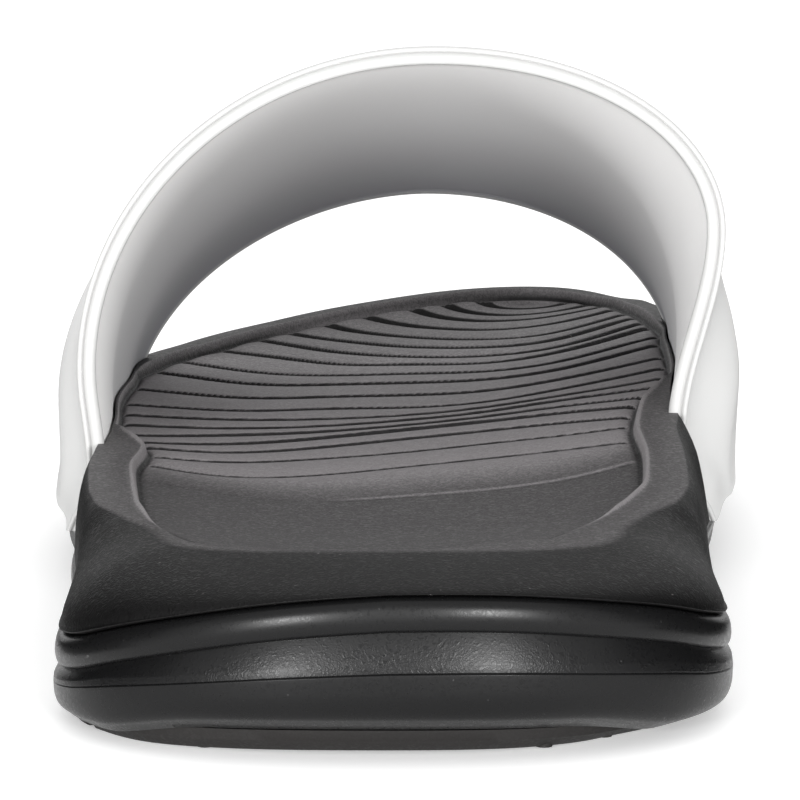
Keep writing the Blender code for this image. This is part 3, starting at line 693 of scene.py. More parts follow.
def rangeNode(tree, value, low, high, toLow=0.0, toHigh=1.0, kind="LINEAR"):
    return node(tree, "ShaderNodeMapRange", {"interpolation_type": kind}, Value=value,
                From_Min=low, From_Max=high, To_Min=toLow, To_Max=toHigh).outputs[0]


def noiseNode(tree, scale, detail, distortion=0.0):
    at = tree.nodes.new("ShaderNodeTexCoord").outputs["Object"]
    return node(tree, "ShaderNodeTexNoise", Vector=at, Scale=scale, Detail=detail,
                Distortion=distortion).outputs[0]


def mixColour(tree, factor, a, b):
    made = node(tree, "ShaderNodeMix", {"data_type": "RGBA"}, Factor=factor)
    for value, socket in ((a, made.inputs[6]), (b, made.inputs[7])):
        feed(tree, socket, (*value, 1) if isinstance(value, tuple) else value)
    return made.outputs[2]


def attributeNode(tree, name):
    return node(tree, "ShaderNodeAttribute", {"attribute_name": name}).outputs["Fac"]


def newGroup(name, inputs, outputs):
    # a shader group of plain values, with its own input and output sockets
    tree = bpy.data.node_groups.new(name, "ShaderNodeTree")
    for label, value in inputs.items():
        socket = tree.interface.new_socket(label, in_out="INPUT", socket_type="NodeSocketFloat")
        socket.default_value = value
    for label in outputs:
        tree.interface.new_socket(label, in_out="OUTPUT", socket_type="NodeSocketFloat")
    return tree, tree.nodes.new("NodeGroupInput").outputs, tree.nodes.new("NodeGroupOutput").inputs


# Constants of the shared groups and the ranges of their values that the finishes use
grain = {"finerBy": 3.1, "foldGain": 2.0, "cellDetail": 1.0}
dusting = {"toneDetail": 4.0, "fleckDetail": 2.0, "fleckLow": 0.78, "fleckHigh": 0.82}
toneRange, foldRange = (0.3, 0.7), (0.2, 0.0)


def makePebble():
    # leathery grain of moulded foam: low rounded cells with fine noise over them
    tree, given, out = newGroup(
        "mouldedPebble", {"Size": 0.0012, "Wrinkle": 0.8, "Fine": 0.3}, ("Height", "Folds"))
    scale = mathNode(tree, "DIVIDE", 1.0, given["Size"])
    cells = noiseNode(tree, scale, grain["cellDetail"], given["Wrinkle"])
    fold = mathNode(tree, "ABSOLUTE", mathNode(tree, "SUBTRACT", cells, 0.5))
    fine = noiseNode(tree, mathNode(tree, "MULTIPLY", scale, grain["finerBy"]), grain["cellDetail"])
    height = mathNode(tree, "ADD", mathNode(tree, "MULTIPLY", fine, given["Fine"]),
                      mathNode(tree, "MULTIPLY", fold, grain["foldGain"]))
    tree.links.new(height, out["Height"])
    tree.links.new(fold, out["Folds"])
    return tree


def makeDust():
    # uneven tone of a handled surface, and pale flecks of dust
    tree, given, out = newGroup(
        "dustAndTone", {"Tone Size": 0.03, "Fleck Size": 0.0009, "Fleck Amount": 0.02}, ("Tone", "Flecks"))
    tone, fleck = (noiseNode(tree, mathNode(tree, "DIVIDE", 1.0, given[label]), dusting[detail])
                   for label, detail in (("Tone Size", "toneDetail"), ("Fleck Size", "fleckDetail")))
    edge = mathNode(tree, "SUBTRACT", dusting["fleckLow"], given["Fleck Amount"])
    tree.links.new(tone, out["Tone"])
    tree.links.new(rangeNode(tree, fleck, edge, dusting["fleckHigh"], kind="SMOOTHSTEP"), out["Flecks"])
    return tree


pebbleGroup, dustGroup = makePebble(), makeDust()


def useGroup(tree, group, **inputs):
    return node(tree, "ShaderNodeGroup", {"node_tree": group}, **inputs).outputs


def newMaterial(name, **fixed):
    material = bpy.data.materials.new(name)
    material.use_nodes = True
    shader = material.node_tree.nodes["Principled BSDF"]
    for key, value in fixed.items():
        shader.inputs[key.replace("_", " ")].default_value = value
    return material, material.node_tree, shader


def finishMaterial(tree, shader, looks, base, rough, height):
    bump = node(tree, "ShaderNodeBump", Strength=looks["relief"], Distance=looks["reliefDepth"],
                Height=height)
    for label, value in (("Base Color", base), ("Roughness", rough), ("Normal", bump.outputs[0])):
        tree.links.new(value, shader.inputs[label])


def foamMaterial(name, looks):
    # moulded foam or rubber: dark, with a leathery grain and paler where dust lies; on the foot bed also
    # paler where feet rub, with painted light on its top, a painted highlight on its lip and painted shade
    # in its grooves
    material, tree, shader = newMaterial(
        name, Specular_IOR_Level=looks["gloss"], Coat_Weight=looks["coat"],
        Coat_Roughness=looks["coatRough"])
    dust = useGroup(tree, dustGroup, Tone_Size=looks["toneSize"], Fleck_Amount=looks["flecks"])
    pebble = useGroup(tree, pebbleGroup, Size=looks["grain"], Fine=looks["fine"])
    base = mixColour(tree, rangeNode(tree, dust["Tone"], *toneRange), looks["dark"], looks["light"])
    # the foot bed's pale colour: partly wear, partly painted light on its top
    if "wornColour" in looks:
        # painted shade: in and beside each groove the pale colour drops to a share of itself
        grooveUnshaded = rangeNode(tree, attributeNode(tree, "grooveDistance"), footbed["shadeStart"],
                          footbed["shadeStart"] + footbed["shadeWidth"], footbed["grooveWear"], 1.0,
                          "SMOOTHSTEP")
        worn = mathNode(tree, "MULTIPLY", attributeNode(tree, "worn"), grooveUnshaded)
        speckle = rangeNode(tree, pebble["Height"], *looks["speckle"])
        base = mixColour(tree, mathNode(tree, "MULTIPLY", worn, speckle), base, looks["wornColour"])
    base = mixColour(tree, dust["Flecks"], base, looks["fleckColour"])
    rough = rangeNode(tree, pebble["Folds"], *foldRange, looks["roughLow"], looks["roughHigh"])
    height = mathNode(tree, "MULTIPLY", pebble["Height"], attributeNode(tree, "grained"))
    finishMaterial(tree, shader, looks, base, rough, height)
    return material


def geometryTree(name, labels):
    # a Geometry Nodes tree with named distances, and its input and output sockets
    tree = bpy.data.node_groups.new(name, "GeometryNodeTree")
    tree.interface.new_socket("Geometry", in_out="INPUT", socket_type="NodeSocketGeometry")
    for label in labels:
        socket = tree.interface.new_socket(label, in_out="INPUT", socket_type="NodeSocketFloat")
        socket.subtype = "DISTANCE"
    tree.interface.new_socket("Geometry", in_out="OUTPUT", socket_type="NodeSocketGeometry")
    return tree, tree.nodes.new("NodeGroupInput").outputs, tree.nodes.new("NodeGroupOutput").inputs


def namedValue(tree, label):
    return node(tree, "GeometryNodeInputNamedAttribute", {"data_type": "FLOAT"}, Name=label).outputs[0]


def shifted(tree, geometry, lift):
    offset = node(tree, "ShaderNodeCombineXYZ", Z=lift).outputs[0]
    return node(tree, "GeometryNodeSetPosition", Geometry=geometry, Offset=offset).outputs[0]


def finishTree(tree, geometry, material, out):
    whole = node(tree, "GeometryNodeRealizeInstances", Geometry=geometry)
    dressed = node(tree, "GeometryNodeSetMaterial", Geometry=whole.outputs[0], Material=material)
    tree.links.new(dressed.outputs[0], out[0])
    return tree


def applyTree(piece, tree, values):
    # run a tree, with its distances from a piece's dictionary, and keep the result as a plain mesh
    modifier = piece.modifiers.new(tree.name, "NODES")
    modifier.node_group = tree
    for item in tree.interface.items_tree:
        if item.in_out == "INPUT" and item.name != "Geometry":
            key = item.name[0].lower() + item.name[1:].replace(" ", "")
            modifier[item.identifier] = values[key]
    bpy.context.view_layer.update()
    graph = bpy.context.evaluated_depsgraph_get()
    mesh = bpy.data.meshes.new_from_object(piece.evaluated_get(graph), depsgraph=graph)
    piece.modifiers.remove(modifier)
    piece.data = mesh
    mesh.shade_smooth()


# Foot bed: the raised rim with its side walls, and the sunk, ribbed bed. Its top takes a pale colour that
# is partly wear and partly painted light, with painted shade in the grooves and at the step; the shares
# below are shares of that colour.
footbed = {
    "wallRows": 15,
    "bedColumns": 80,
    "lip": 0.0006,
    "lipWidth": 0.00034,
    "lipPlace": -0.0003,
    "stepWidth": 0.0010,
    "footRoll": ((0.0019, 0.0), (0.0013, 0.00006), (0.0009, 0.00022), (0.00075, 0.00045)),
    "outsideRings": (0.0024, 0.0014, 0.0009, 0.00065, 0.00045, 0.0003, 0.00015, 0.0),
    "insideRings": (0.0002, 0.0004, 0.0006, 0.0008, 0.0011, 0.0016, 0.0023),
    "grooveDepth": 0.0014,
    "grooveFloor": 0.0003,
    "grooveWidth": 0.0014,
    # painted shade beside each groove, fading out between shadeStart and shadeStart + shadeWidth from its
    # centre
    "shadeStart": 0.0013,
    "shadeWidth": 0.0005,
    "faintLines": (0.0014, 0.0010, 0.0007, 0.0003),     # the rearmost ones are shallower
    "ridgeCrown": 0.0004,
    "fadeStart": 0.0004,
    "fadeEnd": 0.0014,
    # the wall's top takes the rim's pale colour from here: painted light on the top, partly dust
    "dustStart": 0.985,
    "rimWear": 0.29,
    # painted highlight on the lip
    "lipWear": 2.0,
    "heelWear": 0.24,
    "ribStart": 0.024,
    "ridgeWear": 1.0,
    "toeWear": 0.45,
    "toeRimWear": 0.35,
    # a pale line behind the first groove: partly a scuff, partly a painted edge highlight
    "scuff": 0.5,
    # share of the pale colour left where shade is painted: in the grooves and at the step inside the border
    "grooveWear": 0.05,
    "lipStart": 0.115,
    "lipFull": 0.175,
    "heelStepWidth": 0.0045,
    "rollShare": 0.15,
    "rollScale": 0.01,
    "ringShare": 0.9,
    "reliefRoom": 0.002,
    "smoothing": 6,
    "borderClear": 0.002,
    "ribLead": 0.002,
    "toeWearFade": (0.60, 0.82),        # shares of the length, as are the two below
    "toeRimFade": (0.40, 0.70),
    "toeLeftAlong": (0.80, 0.90),
    "toeLeftAcross": (0.0, 0.02),
    "toeLeftWear": 0.7,
    # the lip's painted highlight is weaker at the toe
    "toeLipWear": 0.2,
    "scuffPlace": 0.0012,
    "scuffWidth": 0.0005,
    "scuffAcross": (-0.012, -0.002),
}

# The bed's grooves seen from above: how far along each one lies, in mm from the heel's back, at
# seven places across, in mm from the heel's centre line
grooves = table((
    ("m36", "m24", "m12", "mid", "p12", "p24", "p36"),
    (83.0, 75.0, 71.0, 73.5, 75.8, 79.5, 88.0),
    (95.0, 89.0, 91.0, 96.0, 98.7, 99.0, 98.0),
    (102.0, 100.8, 105.0, 109.0, 111.6, 110.8, 109.0),
    (110.0, 110.0, 116.0, 121.5, 123.4, 121.8, 115.0),
    (115.5, 119.0, 125.0, 130.0, 132.2, 131.6, 125.0),
    (124.3, 128.3, 131.5, 134.8, 137.3, 139.0, 134.5),
    (134.6, 135.5, 137.8, 140.4, 142.8, 146.2, 144.8),
    (145.2, 145.1, 145.8, 146.2, 148.0, 151.6, 153.7),
    (156.3, 155.2, 157.0, 154.8, 154.3, 159.0, 163.7),
    (172.1, 168.8, 169.6, 168.1, 166.3, 169.5, 175.2),
    (190.4, 183.4, 182.5, 181.0, 178.3, 180.3, 189.5),
    (205.7, 196.5, 192.7, 191.0, 187.2, 189.0, 200.0),
    (226.0, 217.5, 206.5, 202.5, 197.4, 201.0, 213.5),
    (248.0, 235.3, 221.3, 211.7, 206.7, 208.0, 220.5),
    (262.0, 250.0, 237.0, 224.5, 217.0, 217.3, 230.0),
    (275.0, 264.0, 252.7, 239.0, 228.0, 226.3, 240.0),
    (287.0, 277.0, 266.0, 256.0, 244.0, 242.0, 253.0),
    (300.0, 290.0, 280.0, 270.0, 259.0, 255.0, 265.0),
    (312.0, 302.0, 291.0, 280.0, 269.0, 265.0, 276.0),
    (323.0, 313.0, 301.0, 290.0, 278.5, 274.5, 285.0),
))
grooveAcross = np.array((-36.0, -24.0, -12.0, 0.0, 12.0, 24.0, 36.0)) / 1000
grooveRows = np.stack(list(grooves.values()), axis=1) / 1000
slopeStep = 0.001


def spline(xs, ys, x):
    # natural cubic through the values, straight beyond its ends
    n = len(xs)
    h = np.diff(xs)
    system, right = np.eye(n), np.zeros(n)
    for i in range(1, n - 1):
        system[i, i - 1:i + 2] = h[i - 1], 2 * (h[i - 1] + h[i]), h[i]
        right[i] = 6 * ((ys[i + 1] - ys[i]) / h[i] - (ys[i] - ys[i - 1]) / h[i - 1])
    m = np.linalg.solve(system, right)
    i = np.clip(np.searchsorted(xs, x) - 1, 0, n - 2)
    b = (x - xs[i]) / h[i]
    inner = np.clip(b, 0, 1)
    curve = cubic(inner, (ys[i], ys[i + 1]), (m[i], m[i + 1]), h[i])
    return curve + (b - inner) * (ys[i + 1] - ys[i])


def grooveField(points):
    # distance to the nearest groove, the place between two of them as a share, and the first one
    x, y = points[:, 0], points[:, 1]
    lines, ahead = (np.stack([spline(grooveAcross, row, at) for row in grooveRows])
                    for at in (x, x + slopeStep))
    away = np.abs(y - lines) / np.sqrt(1 + ((ahead - lines) / slopeStep) ** 2)
    away[:len(footbed["faintLines"])] += np.array(footbed["faintLines"])[:, None]
    above = (lines < y).sum(axis=0)
    low = np.take_along_axis(lines, np.clip(above - 1, 0, None)[None], 0)[0]
    high = np.take_along_axis(lines, np.clip(above, None, len(lines) - 1)[None], 0)[0]
    share = np.clip((y - low) / np.maximum(high - low, 1e-6), 0, 1)
    share = np.where((above == 0) | (above == len(lines)), 0, share)
    return away.min(axis=0), share, lines[0]


def wallShare(row, along, profile):
    return mix(profile["bulged"][row], profile["straight"][row], between(along, bulgedEnd, straightStart))


def seatInRecess(points, lengths, inside, lift):
    # the part of a ring beside the strap follows the strap's lining
    for name in sign:
        for k in np.flatnonzero(inside[name]):
            i = k if name == "outer" else len(points) - k
            y = onOutline(name, lengths[name][k])[0][1]
            along = y / sole["length"]
            z = mix(sideLine("crease", along), sideLine(name + "Rim", along), lift)
            points[i] = (liningX(name, y, z) - sign[name] * sole["recessGap"], y, z)
    return points


def rungCentres(loop):
    centre = loop.copy()
    half = len(loop) // 2
    middle = (loop[1:half] + loop[:half:-1]) / 2
    centre[1:half] = middle
    centre[:half:-1] = middle
    centre[:, 1] = np.clip(centre[:, 1], bedStart * sole["length"], bedEnd * sole["length"])
    centre[0, 0] = 0
    centre[:, 2] = loop[:, 2]
    return centre


def bedRung(left, right):
    shares = np.linspace(0, 1, footbed["bedColumns"] + 1)[1:-1, None]
    points = mix(left, right, shares)
    along = points[:, 1] / sole["length"]
    dip = sole["heelHeight"] * columnAt(sideLines, "bedDip", along)
    points[:, 2] -= dip * (1 - (2 * shares[:, 0] - 1) ** 2)
    return points


def smoothLoop(values, passes):
    # soften kinks in a closed row of values
    for _ in range(passes):
        values = (np.roll(values, 1, axis=0) + 2 * values + np.roll(values, -1, axis=0)) / 4
    return values


def bedBorder(lengths, edge):
    # the bed's border, its way out to the wall's edge and how long that is, and its way inwards
    border = ring(lengths, insetOf("Bed"), rimHeight)
    side = np.where(np.arange(len(edge)) < len(lengths["outer"]), -1, 1)
    limit = side * edge[:, 0] - leastRim
    along = edge[:, 1] / sole["length"]
    over = (along > bedStart) & (along < bedEnd) & (side * border[:, 0] > limit)
    border[over, 0] = (side * limit)[over]
    room = np.linalg.norm(edge - border, axis=1)
    inward = smoothLoop(unit(rungCentres(border) - border, sole["gap"]), footbed["smoothing"])
    return border, unit(edge - border, 1e-6), room, inward


def lipShape(distance):
    return np.exp(-((distance - footbed["lipPlace"]) / footbed["lipWidth"]) ** 2)


def bedRelief(along, distance):
    # the thin lip and the step down to the bed, at a distance inwards from its border
    step = sole["bedStep"] * mix(leastStep, 1, between(along, stepStart, stepFull))
    lipShare = between(along, footbed["lipStart"], footbed["lipFull"])
    width = mix(footbed["heelStepWidth"], footbed["stepWidth"], lipShare)
    lip = footbed["lip"] * lipShape(distance) * lipShare
    return lip - step * smoothStep((distance + width / 2) / width)


def bedWearAndLight(points, firstGroove, fade):
    # how pale the bed is, partly where feet have rubbed it and partly painted light: most on the ridges,
    # with a pale line behind them that is partly a scuff and partly a painted edge highlight, and painted
    # shade at the step inside the border
    x, y = points[:, 0], points[:, 1]
    along = y / sole["length"]
    ribbed = smoothStep((y - firstGroove + footbed["ribLead"]) / footbed["ribStart"])
    wearAndLight = mix(footbed["heelWear"], footbed["ridgeWear"], ribbed)
    wearAndLight = wearAndLight * mix(1, footbed["toeWear"], between(along, *footbed["toeWearFade"]))
    # a pale line behind the first groove: partly a scuff, partly a painted edge highlight
    scuff = np.exp(-((y - firstGroove - footbed["scuffPlace"]) / footbed["scuffWidth"]) ** 2)
    wearAndLight = wearAndLight + footbed["scuff"] * scuff * between(x, *footbed["scuffAcross"])
    toeLeft = between(along, *footbed["toeLeftAlong"]) * (1 - between(x, *footbed["toeLeftAcross"]))
    # painted shade at the step inside the border, lifted at the toe's left
    return wearAndLight * mix(footbed["grooveWear"], 1, np.maximum(fade, footbed["toeLeftWear"] * toeLeft))


def makeFootbed():
    lengths, inside = {}, {}
    for name in sign:
        lengths[name], inside[name] = stations(name)
    shell = Shell()
    profile = {name: finer(wallProfile, name, footbed["wallRows"]) for name in wallProfile}
    bottom = ring(lengths, constant(sole["creaseDepth"] + strap["wall"]), creaseHeight(0))
    shell.flatRing(seatInRecess(bottom, lengths, inside, 0), plainColumns)
    for inset, up in footbed["footRoll"]:
        def rollHeight(name, place, at, up=up):
            low = tiltedLine("crease", name, at)
            return low + np.minimum(up, footbed["rollShare"] * (rimHeight(name, place, at) - low))

        rolled = ring(lengths, constant(inset), rollHeight)
        shell.nextRing(seatInRecess(rolled, lengths, inside, up / footbed["rollScale"]))
    worn = [np.zeros(shell.count)]
    for row, rise in enumerate(profile["rise"]):
        def wallInset(name, along, row=row):
            share = wallShare(row, along, profile)
            return insetOf("Edge")(name, along) * share + sole["creaseDepth"] * wallFoot * (1 - share)

        def wallHeight(name, place, at, rise=rise):
            return mix(tiltedLine("crease", name, at), rimHeight(name, place, at), rise)

        edge = seatInRecess(ring(lengths, wallInset, wallHeight), lengths, inside, rise)
        shell.nextRing(edge)
        # the wall's top takes the rim's pale colour: painted light on the top, partly dust
        worn.append(np.full(len(edge), footbed["rimWear"] * between(rise, footbed["dustStart"], 1)))
    lips = [np.zeros(shell.count)]
    border, toEdge, room, inward = bedBorder(lengths, edge)
    along = border[:, 1] / sole["length"]
    for distance in footbed["outsideRings"]:
        out = distance * np.minimum(1, footbed["ringShare"] * room / footbed["outsideRings"][0])
        points = border + toEdge * out[:, None]
        points[:, 2] += bedRelief(along, -out) * smoothStep(room / footbed["reliefRoom"])
        shell.nextRing(points)
        # the rim's top: pale colour, partly wear and partly painted light
        worn.append(np.full(len(edge), footbed["rimWear"]))
        # painted highlight on the lip
        lips.append(lipShape(-distance) * between(along, footbed["lipStart"], footbed["lipFull"]))
    rimPoints = shell.count
    fromBorder = [np.zeros(rimPoints)]
    for distance in footbed["insideRings"]:
        points = border + inward * distance
        points[:, 2] = border[:, 2] + bedRelief(along, distance)
        top = shell.nextRing(points)
        fromBorder.append(np.full(len(edge), distance))
    firstBed = shell.count
    shell.fill(top, points, footbed["bedColumns"], bedRung)
    fromBorder.append(np.full(shell.count - firstBed, footbed["fadeEnd"]))
    every = shell.allPoints()
    piece = plainMesh("footbed_foam", every, shell.faces)
    turnOutwards(piece)
    nearest, share, firstGroove = grooveField(every)
    fade = between(np.concatenate(fromBorder), footbed["fadeStart"], footbed["fadeEnd"])
    wearAndLight = bedWearAndLight(every, firstGroove, fade)
    toToe = between(every[:rimPoints, 1] / sole["length"], *footbed["toeRimFade"])
    lips = np.concatenate(lips) * (footbed["lipWear"] - footbed["rimWear"])
    # on the rim: its pale colour, partly wear and partly painted light, plus the painted highlight of the
    # lip, both less towards the toe
    wearAndLight[:rimPoints] = (np.concatenate(worn) * mix(1, footbed["toeRimWear"], toToe)
                        + lips * mix(1, footbed["toeLipWear"], toToe))
    away = nearest + footbed["borderClear"] * (1 - fade)
    away[:rimPoints] = 1.0
    for label, values in (("worn", wearAndLight), ("grained", np.ones(len(every))), ("grooveDistance", away),
                          ("ridgeShare", share), ("bedFade", fade)):
        setAttribute(piece, label, values)
    return piece


def ribTree(material):
    # presses the grooves into the bed and crowns the ridges between them
    tree, given, out = geometryTree(
        "bedRibs", ("Groove Depth", "Groove Floor", "Groove Width", "Ridge Crown"))
    pressed = rangeNode(tree, namedValue(tree, "grooveDistance"), given["Groove Floor"],
                        given["Groove Width"], 1.0, 0.0, "SMOOTHSTEP")
    depth = mathNode(tree, "MULTIPLY", pressed, given["Groove Depth"])
    arch = mathNode(tree, "SINE", mathNode(tree, "MULTIPLY", namedValue(tree, "ridgeShare"), math.pi))
    crown = mathNode(tree, "MULTIPLY", arch, given["Ridge Crown"])
    lift = mathNode(tree, "SUBTRACT", crown, depth)
    lift = mathNode(tree, "MULTIPLY", lift, namedValue(tree, "bedFade"))
    return finishTree(tree, shifted(tree, given["Geometry"], lift), material, out)


bedLooks = {
    "dark": (0.0022, 0.0021, 0.0022),
    "light": (0.0042, 0.0040, 0.0041),
    # the pale colour of the bed's top: partly wear, partly painted light
    "wornColour": (0.174, 0.164, 0.168),
    "fleckColour": (0.16, 0.15, 0.15),
    "toneSize": 0.035,
    "flecks": 0.05,
    "grain": 0.0008,
    "fine": 0.5,
    "roughLow": 0.46,
    "roughHigh": 0.60,
    "gloss": 0.14,
    "relief": 0.48,
    "reliefDepth": 0.00016,
    "coat": 0.0,
    "coatRough": 0.3,
    "speckle": (0.1, 0.5, 0.6, 1.4),
}
footbedPiece = makeFootbed()
applyTree(footbedPiece, ribTree(foamMaterial("charcoalFoam", bedLooks)), footbed)
attach(footbedPiece, "footbed")
print("foot bed made,", len(footbedPiece.data.polygons), "faces")


# Midsole: the bead under the crease, the parting line and the rounded lower side
midsole = {
    "smoothGrain": 0.15,            # how much of the grain shows off the band over the parting line
    "beadRows": 22,
    "lowerRows": 26,
    "partingDepth": 0.00012,
    "partingWidth": 0.022,
    "sideSteps": 300,
    "sharpAngle": 50,
    "partingDrops": (-0.030, -0.022, -0.011, 0.0, 0.011, 0.022, 0.030),
}


def makeMidsole():
    lengths = {name: np.linspace(0, sides[name]["length"][-1], midsole["sideSteps"]) for name in sign}
    shell = Shell()
    overTread = sole["outsoleThickness"] + sole["gap"]

    def seatHeight(name, place, at):
        return ground(place) + overTread

    def lipHeight(name, place, at):
        return seatHeight(name, place, at) - sole["lipHeight"] * between(at, lipStart, lipFull)

    seat = ring(lengths, undercut(seatInset, 1), seatHeight)
    shell.flatRing(seat, plainColumns)
    shell.nextRing(ring(lengths, undercut(lipInset, 1), lipHeight))
    grained = [np.full(shell.count, midsole["smoothGrain"])]
    lower = [finer(lowerProfile, name, midsole["lowerRows"]) for name in ("drop", "inset")]
    drops = np.union1d(lower[0], midsole["partingDrops"])[::-1]
    for inset, drop in zip(np.interp(drops, *lower), drops):
        def sideHeight(name, place, at, share=drop):
            bottom = lipHeight(name, place, at) + sole["lipHeight"] * (1 - lipInset)
            return mix(tiltedLine("parting", name, at), bottom, share)

        leaning = mix(beadLean, 1, max(drop, 0))
        grained.append(np.full(len(seat), 1.0 if drop < 0 else midsole["smoothGrain"]))
        line = midsole["partingDepth"] * max(0, 1 - abs(drop) / midsole["partingWidth"])
        shell.nextRing(ring(lengths, undercut(inset, leaning, line), sideHeight))
    bead = [finer(beadProfile, name, midsole["beadRows"])[::-1] for name in ("inset", "drop")]
    for inset, drop in zip(*bead):
        inward = undercut(0, beadLean * drop, inset * sole["creaseDepth"])
        shell.nextRing(ring(lengths, inward, creaseHeight(drop * sole["beadHeight"])))
    shell.flatRing(ring(lengths, constant(sole["creaseDepth"]), creaseHeight(sole["gap"])), plainColumns)
    piece = plainMesh("midsole_foam", shell.allPoints(), shell.faces)
    turnOutwards(piece)
    grained = np.concatenate(grained)
    rest = np.full(shell.count - len(grained), midsole["smoothGrain"])
    setAttribute(piece, "grained", np.concatenate((grained, rest)))
    piece.data.set_sharp_from_angle(angle=math.radians(midsole["sharpAngle"]))
    return piece


sideLooks = {
    "dark": (0.0035, 0.0035, 0.0037),
    "light": (0.0060, 0.0060, 0.0062),
    "fleckColour": (0.05, 0.05, 0.05),
    "toneSize": 0.03,
    "flecks": 0.04,
    "grain": 0.0006,
    "fine": 0.5,
    "roughLow": 0.26,
    "roughHigh": 0.38,
    "gloss": 0.14,
    "relief": 0.3,
    "reliefDepth": 0.00014,
    "coat": 0.09,
    "coatRough": 0.24,
}
midsolePiece = makeMidsole()
midsolePiece.data.materials.append(foamMaterial("blackFoam", sideLooks))
attach(midsolePiece, "midsole")
print("midsole made")


# Outsole: cross lugs, with studs under them inside a plain border
outsole = {
    "firstGroove": 0.075,
    "lastGroove": 0.955,
    "grooveCount": 17,
    "grooveWidth": 0.0026,
    "grooveDraft": 0.12,
    "lugDepth": 0.0013,
    "studHeight": 0.0004,
    "studRadius": 0.0010,
    "studPitch": 0.0036,
    "studMargin": 0.0034,
    "borderWidth": 0.0016,
    "borderSlope": 0.0003,
    "studRoot": 0.0004,             # how far a stud reaches up into the rubber
    "studStart": 0.012,
    "studEnd": 0.270,
    "studSides": 12,
    "columns": 6,
    "heelSteps": 40,
    "lugSteps": 8,
    "toeSteps": 30,
    "sharpAngle": 35,
}
treadProfile = table((
    ("inset", "rise"),
    (1.00, 0.00),
    (0.93, 0.05),
    (0.86, 0.22),
    (0.74, 0.50),
    (0.66, 1.00),
))


def studPlaces(centres):
    # staggered rows of places under the lugs, clear of the cross grooves and the tread's border
    places, most = [], round(sole["ballWidth"] / outsole["studPitch"])
    clear = outsole["grooveWidth"] / 2 + outsole["studRadius"]
    rowPitch = outsole["studPitch"] * math.sqrt(3) / 2
    for k, y in enumerate(np.arange(outsole["studStart"], outsole["studEnd"], rowPitch)):
        if np.abs(centres - y).min() < clear:
            continue
        along = y / sole["length"]
        limit = {name: sign[name] * (reachAt(name, y) - undercut(1, 1)(name, np.array([along]))[0]
                                     - outsole["studMargin"]) for name in sign}
        x = (np.arange(-most, most) + 0.5 * (k % 2)) * outsole["studPitch"]
        x = x[(x > limit["outer"]) & (x < limit["inner"])]
        z = ground(along) + outsole["studHeight"]
        places += [(value, y, z) for value in x]
    return np.array(places)


def studTree(material):
    # a short cylinder under each loose point, joined to the tread
    tree, given, out = geometryTree("treadStuds", ("Stud Height", "Stud Radius", "Stud Root"))
    parts = node(tree, "GeometryNodeSeparateGeometry", {"domain": "POINT"},
                 Geometry=given["Geometry"], Selection=namedValue(tree, "stud")).outputs
    tall = mathNode(tree, "ADD", given["Stud Height"], given["Stud Root"])
    shape = node(tree, "GeometryNodeMeshCylinder", Vertices=outsole["studSides"],
                 Radius=given["Stud Radius"], Depth=tall)
    drop = mathNode(tree, "SUBTRACT", given["Stud Root"], given["Stud Height"])
    lowered = shifted(tree, parts[0], mathNode(tree, "MULTIPLY", drop, 0.5))
    studs = node(tree, "GeometryNodeInstanceOnPoints", Points=lowered, Instance=shape.outputs["Mesh"])
    joined = tree.nodes.new("GeometryNodeJoinGeometry")
    tree.links.new(studs.outputs[0], joined.inputs[0])
    tree.links.new(parts[1], joined.inputs[0])
    return finishTree(tree, joined.outputs[0], material, out)


def treadStations(name, cuts):
    # distances along a side, four to each cross groove, and which of them are on a groove's floor
    at = list(np.linspace(0, lengthAt(name, cuts[0]), outsole["heelSteps"], endpoint=False))
    floor = [False] * len(at)
    for i, y in enumerate(cuts):
        at.append(lengthAt(name, y))
        floor.append(i % 4 in (1, 2))
        if i % 4 == 3 and i + 1 < len(cuts):
            lug = np.linspace(lengthAt(name, y), lengthAt(name, cuts[i + 1]), outsole["lugSteps"])[1:-1]
            at += list(lug)
            floor += [False] * len(lug)
    toe = np.linspace(lengthAt(name, cuts[-1]), sides[name]["length"][-1], outsole["toeSteps"])[1:]
    return np.array(at + list(toe)), np.array(floor + [False] * len(toe))


def makeOutsole(material):
    centres = np.linspace(outsole["firstGroove"], outsole["lastGroove"], outsole["grooveCount"])
    centres = centres * sole["length"]
    draft = outsole["grooveDraft"]
    offsets = np.array((-0.5, -0.5 + draft, 0.5 - draft, 0.5)) * outsole["grooveWidth"]
    cuts = (centres[:, None] + offsets).ravel()
    lengths, floor = {}, None
    for name in sign:
        lengths[name], floor = treadStations(name, cuts)
    floor = np.concatenate((floor, floor[-2:0:-1]))
    shell = Shell()
    # rows of inset share, more inset, level and rise: the studded field lies a stud's height up,
    # inside a border that stands on the ground
    rows = [(1.0, outsole["borderWidth"], outsole["studHeight"], 0.0),
            (1.0, outsole["borderWidth"] - outsole["borderSlope"], 0.0, 0.0)]
    rows += [(inset, sole["gap"] if rise == 1 else 0.0, 0.0, rise)
             for inset, rise in zip(treadProfile["inset"], treadProfile["rise"])]
    for i, (inset, extra, level, rise) in enumerate(rows):
        def treadHeight(name, place, at, level=level, share=rise):
            return ground(place) + level + sole["outsoleThickness"] * share

        points = ring(lengths, undercut(inset, 1, extra), treadHeight)
        points[floor, 2] += outsole["lugDepth"] * (1 - rise)
        if i in (0, len(rows) - 1):
            shell.flatRing(points, outsole["columns"])
        else:
            shell.nextRing(points)
    treadCount = shell.count
    shell.add(studPlaces(centres))
    piece = plainMesh("outsole_rubber", shell.allPoints(), shell.faces)
    turnOutwards(piece)
    setAttribute(piece, "grained", np.ones(shell.count))
    setAttribute(piece, "stud", np.arange(shell.count) >= treadCount)
    applyTree(piece, studTree(material), outsole)
    piece.data.set_sharp_from_angle(angle=math.radians(outsole["sharpAngle"]))
    return piece


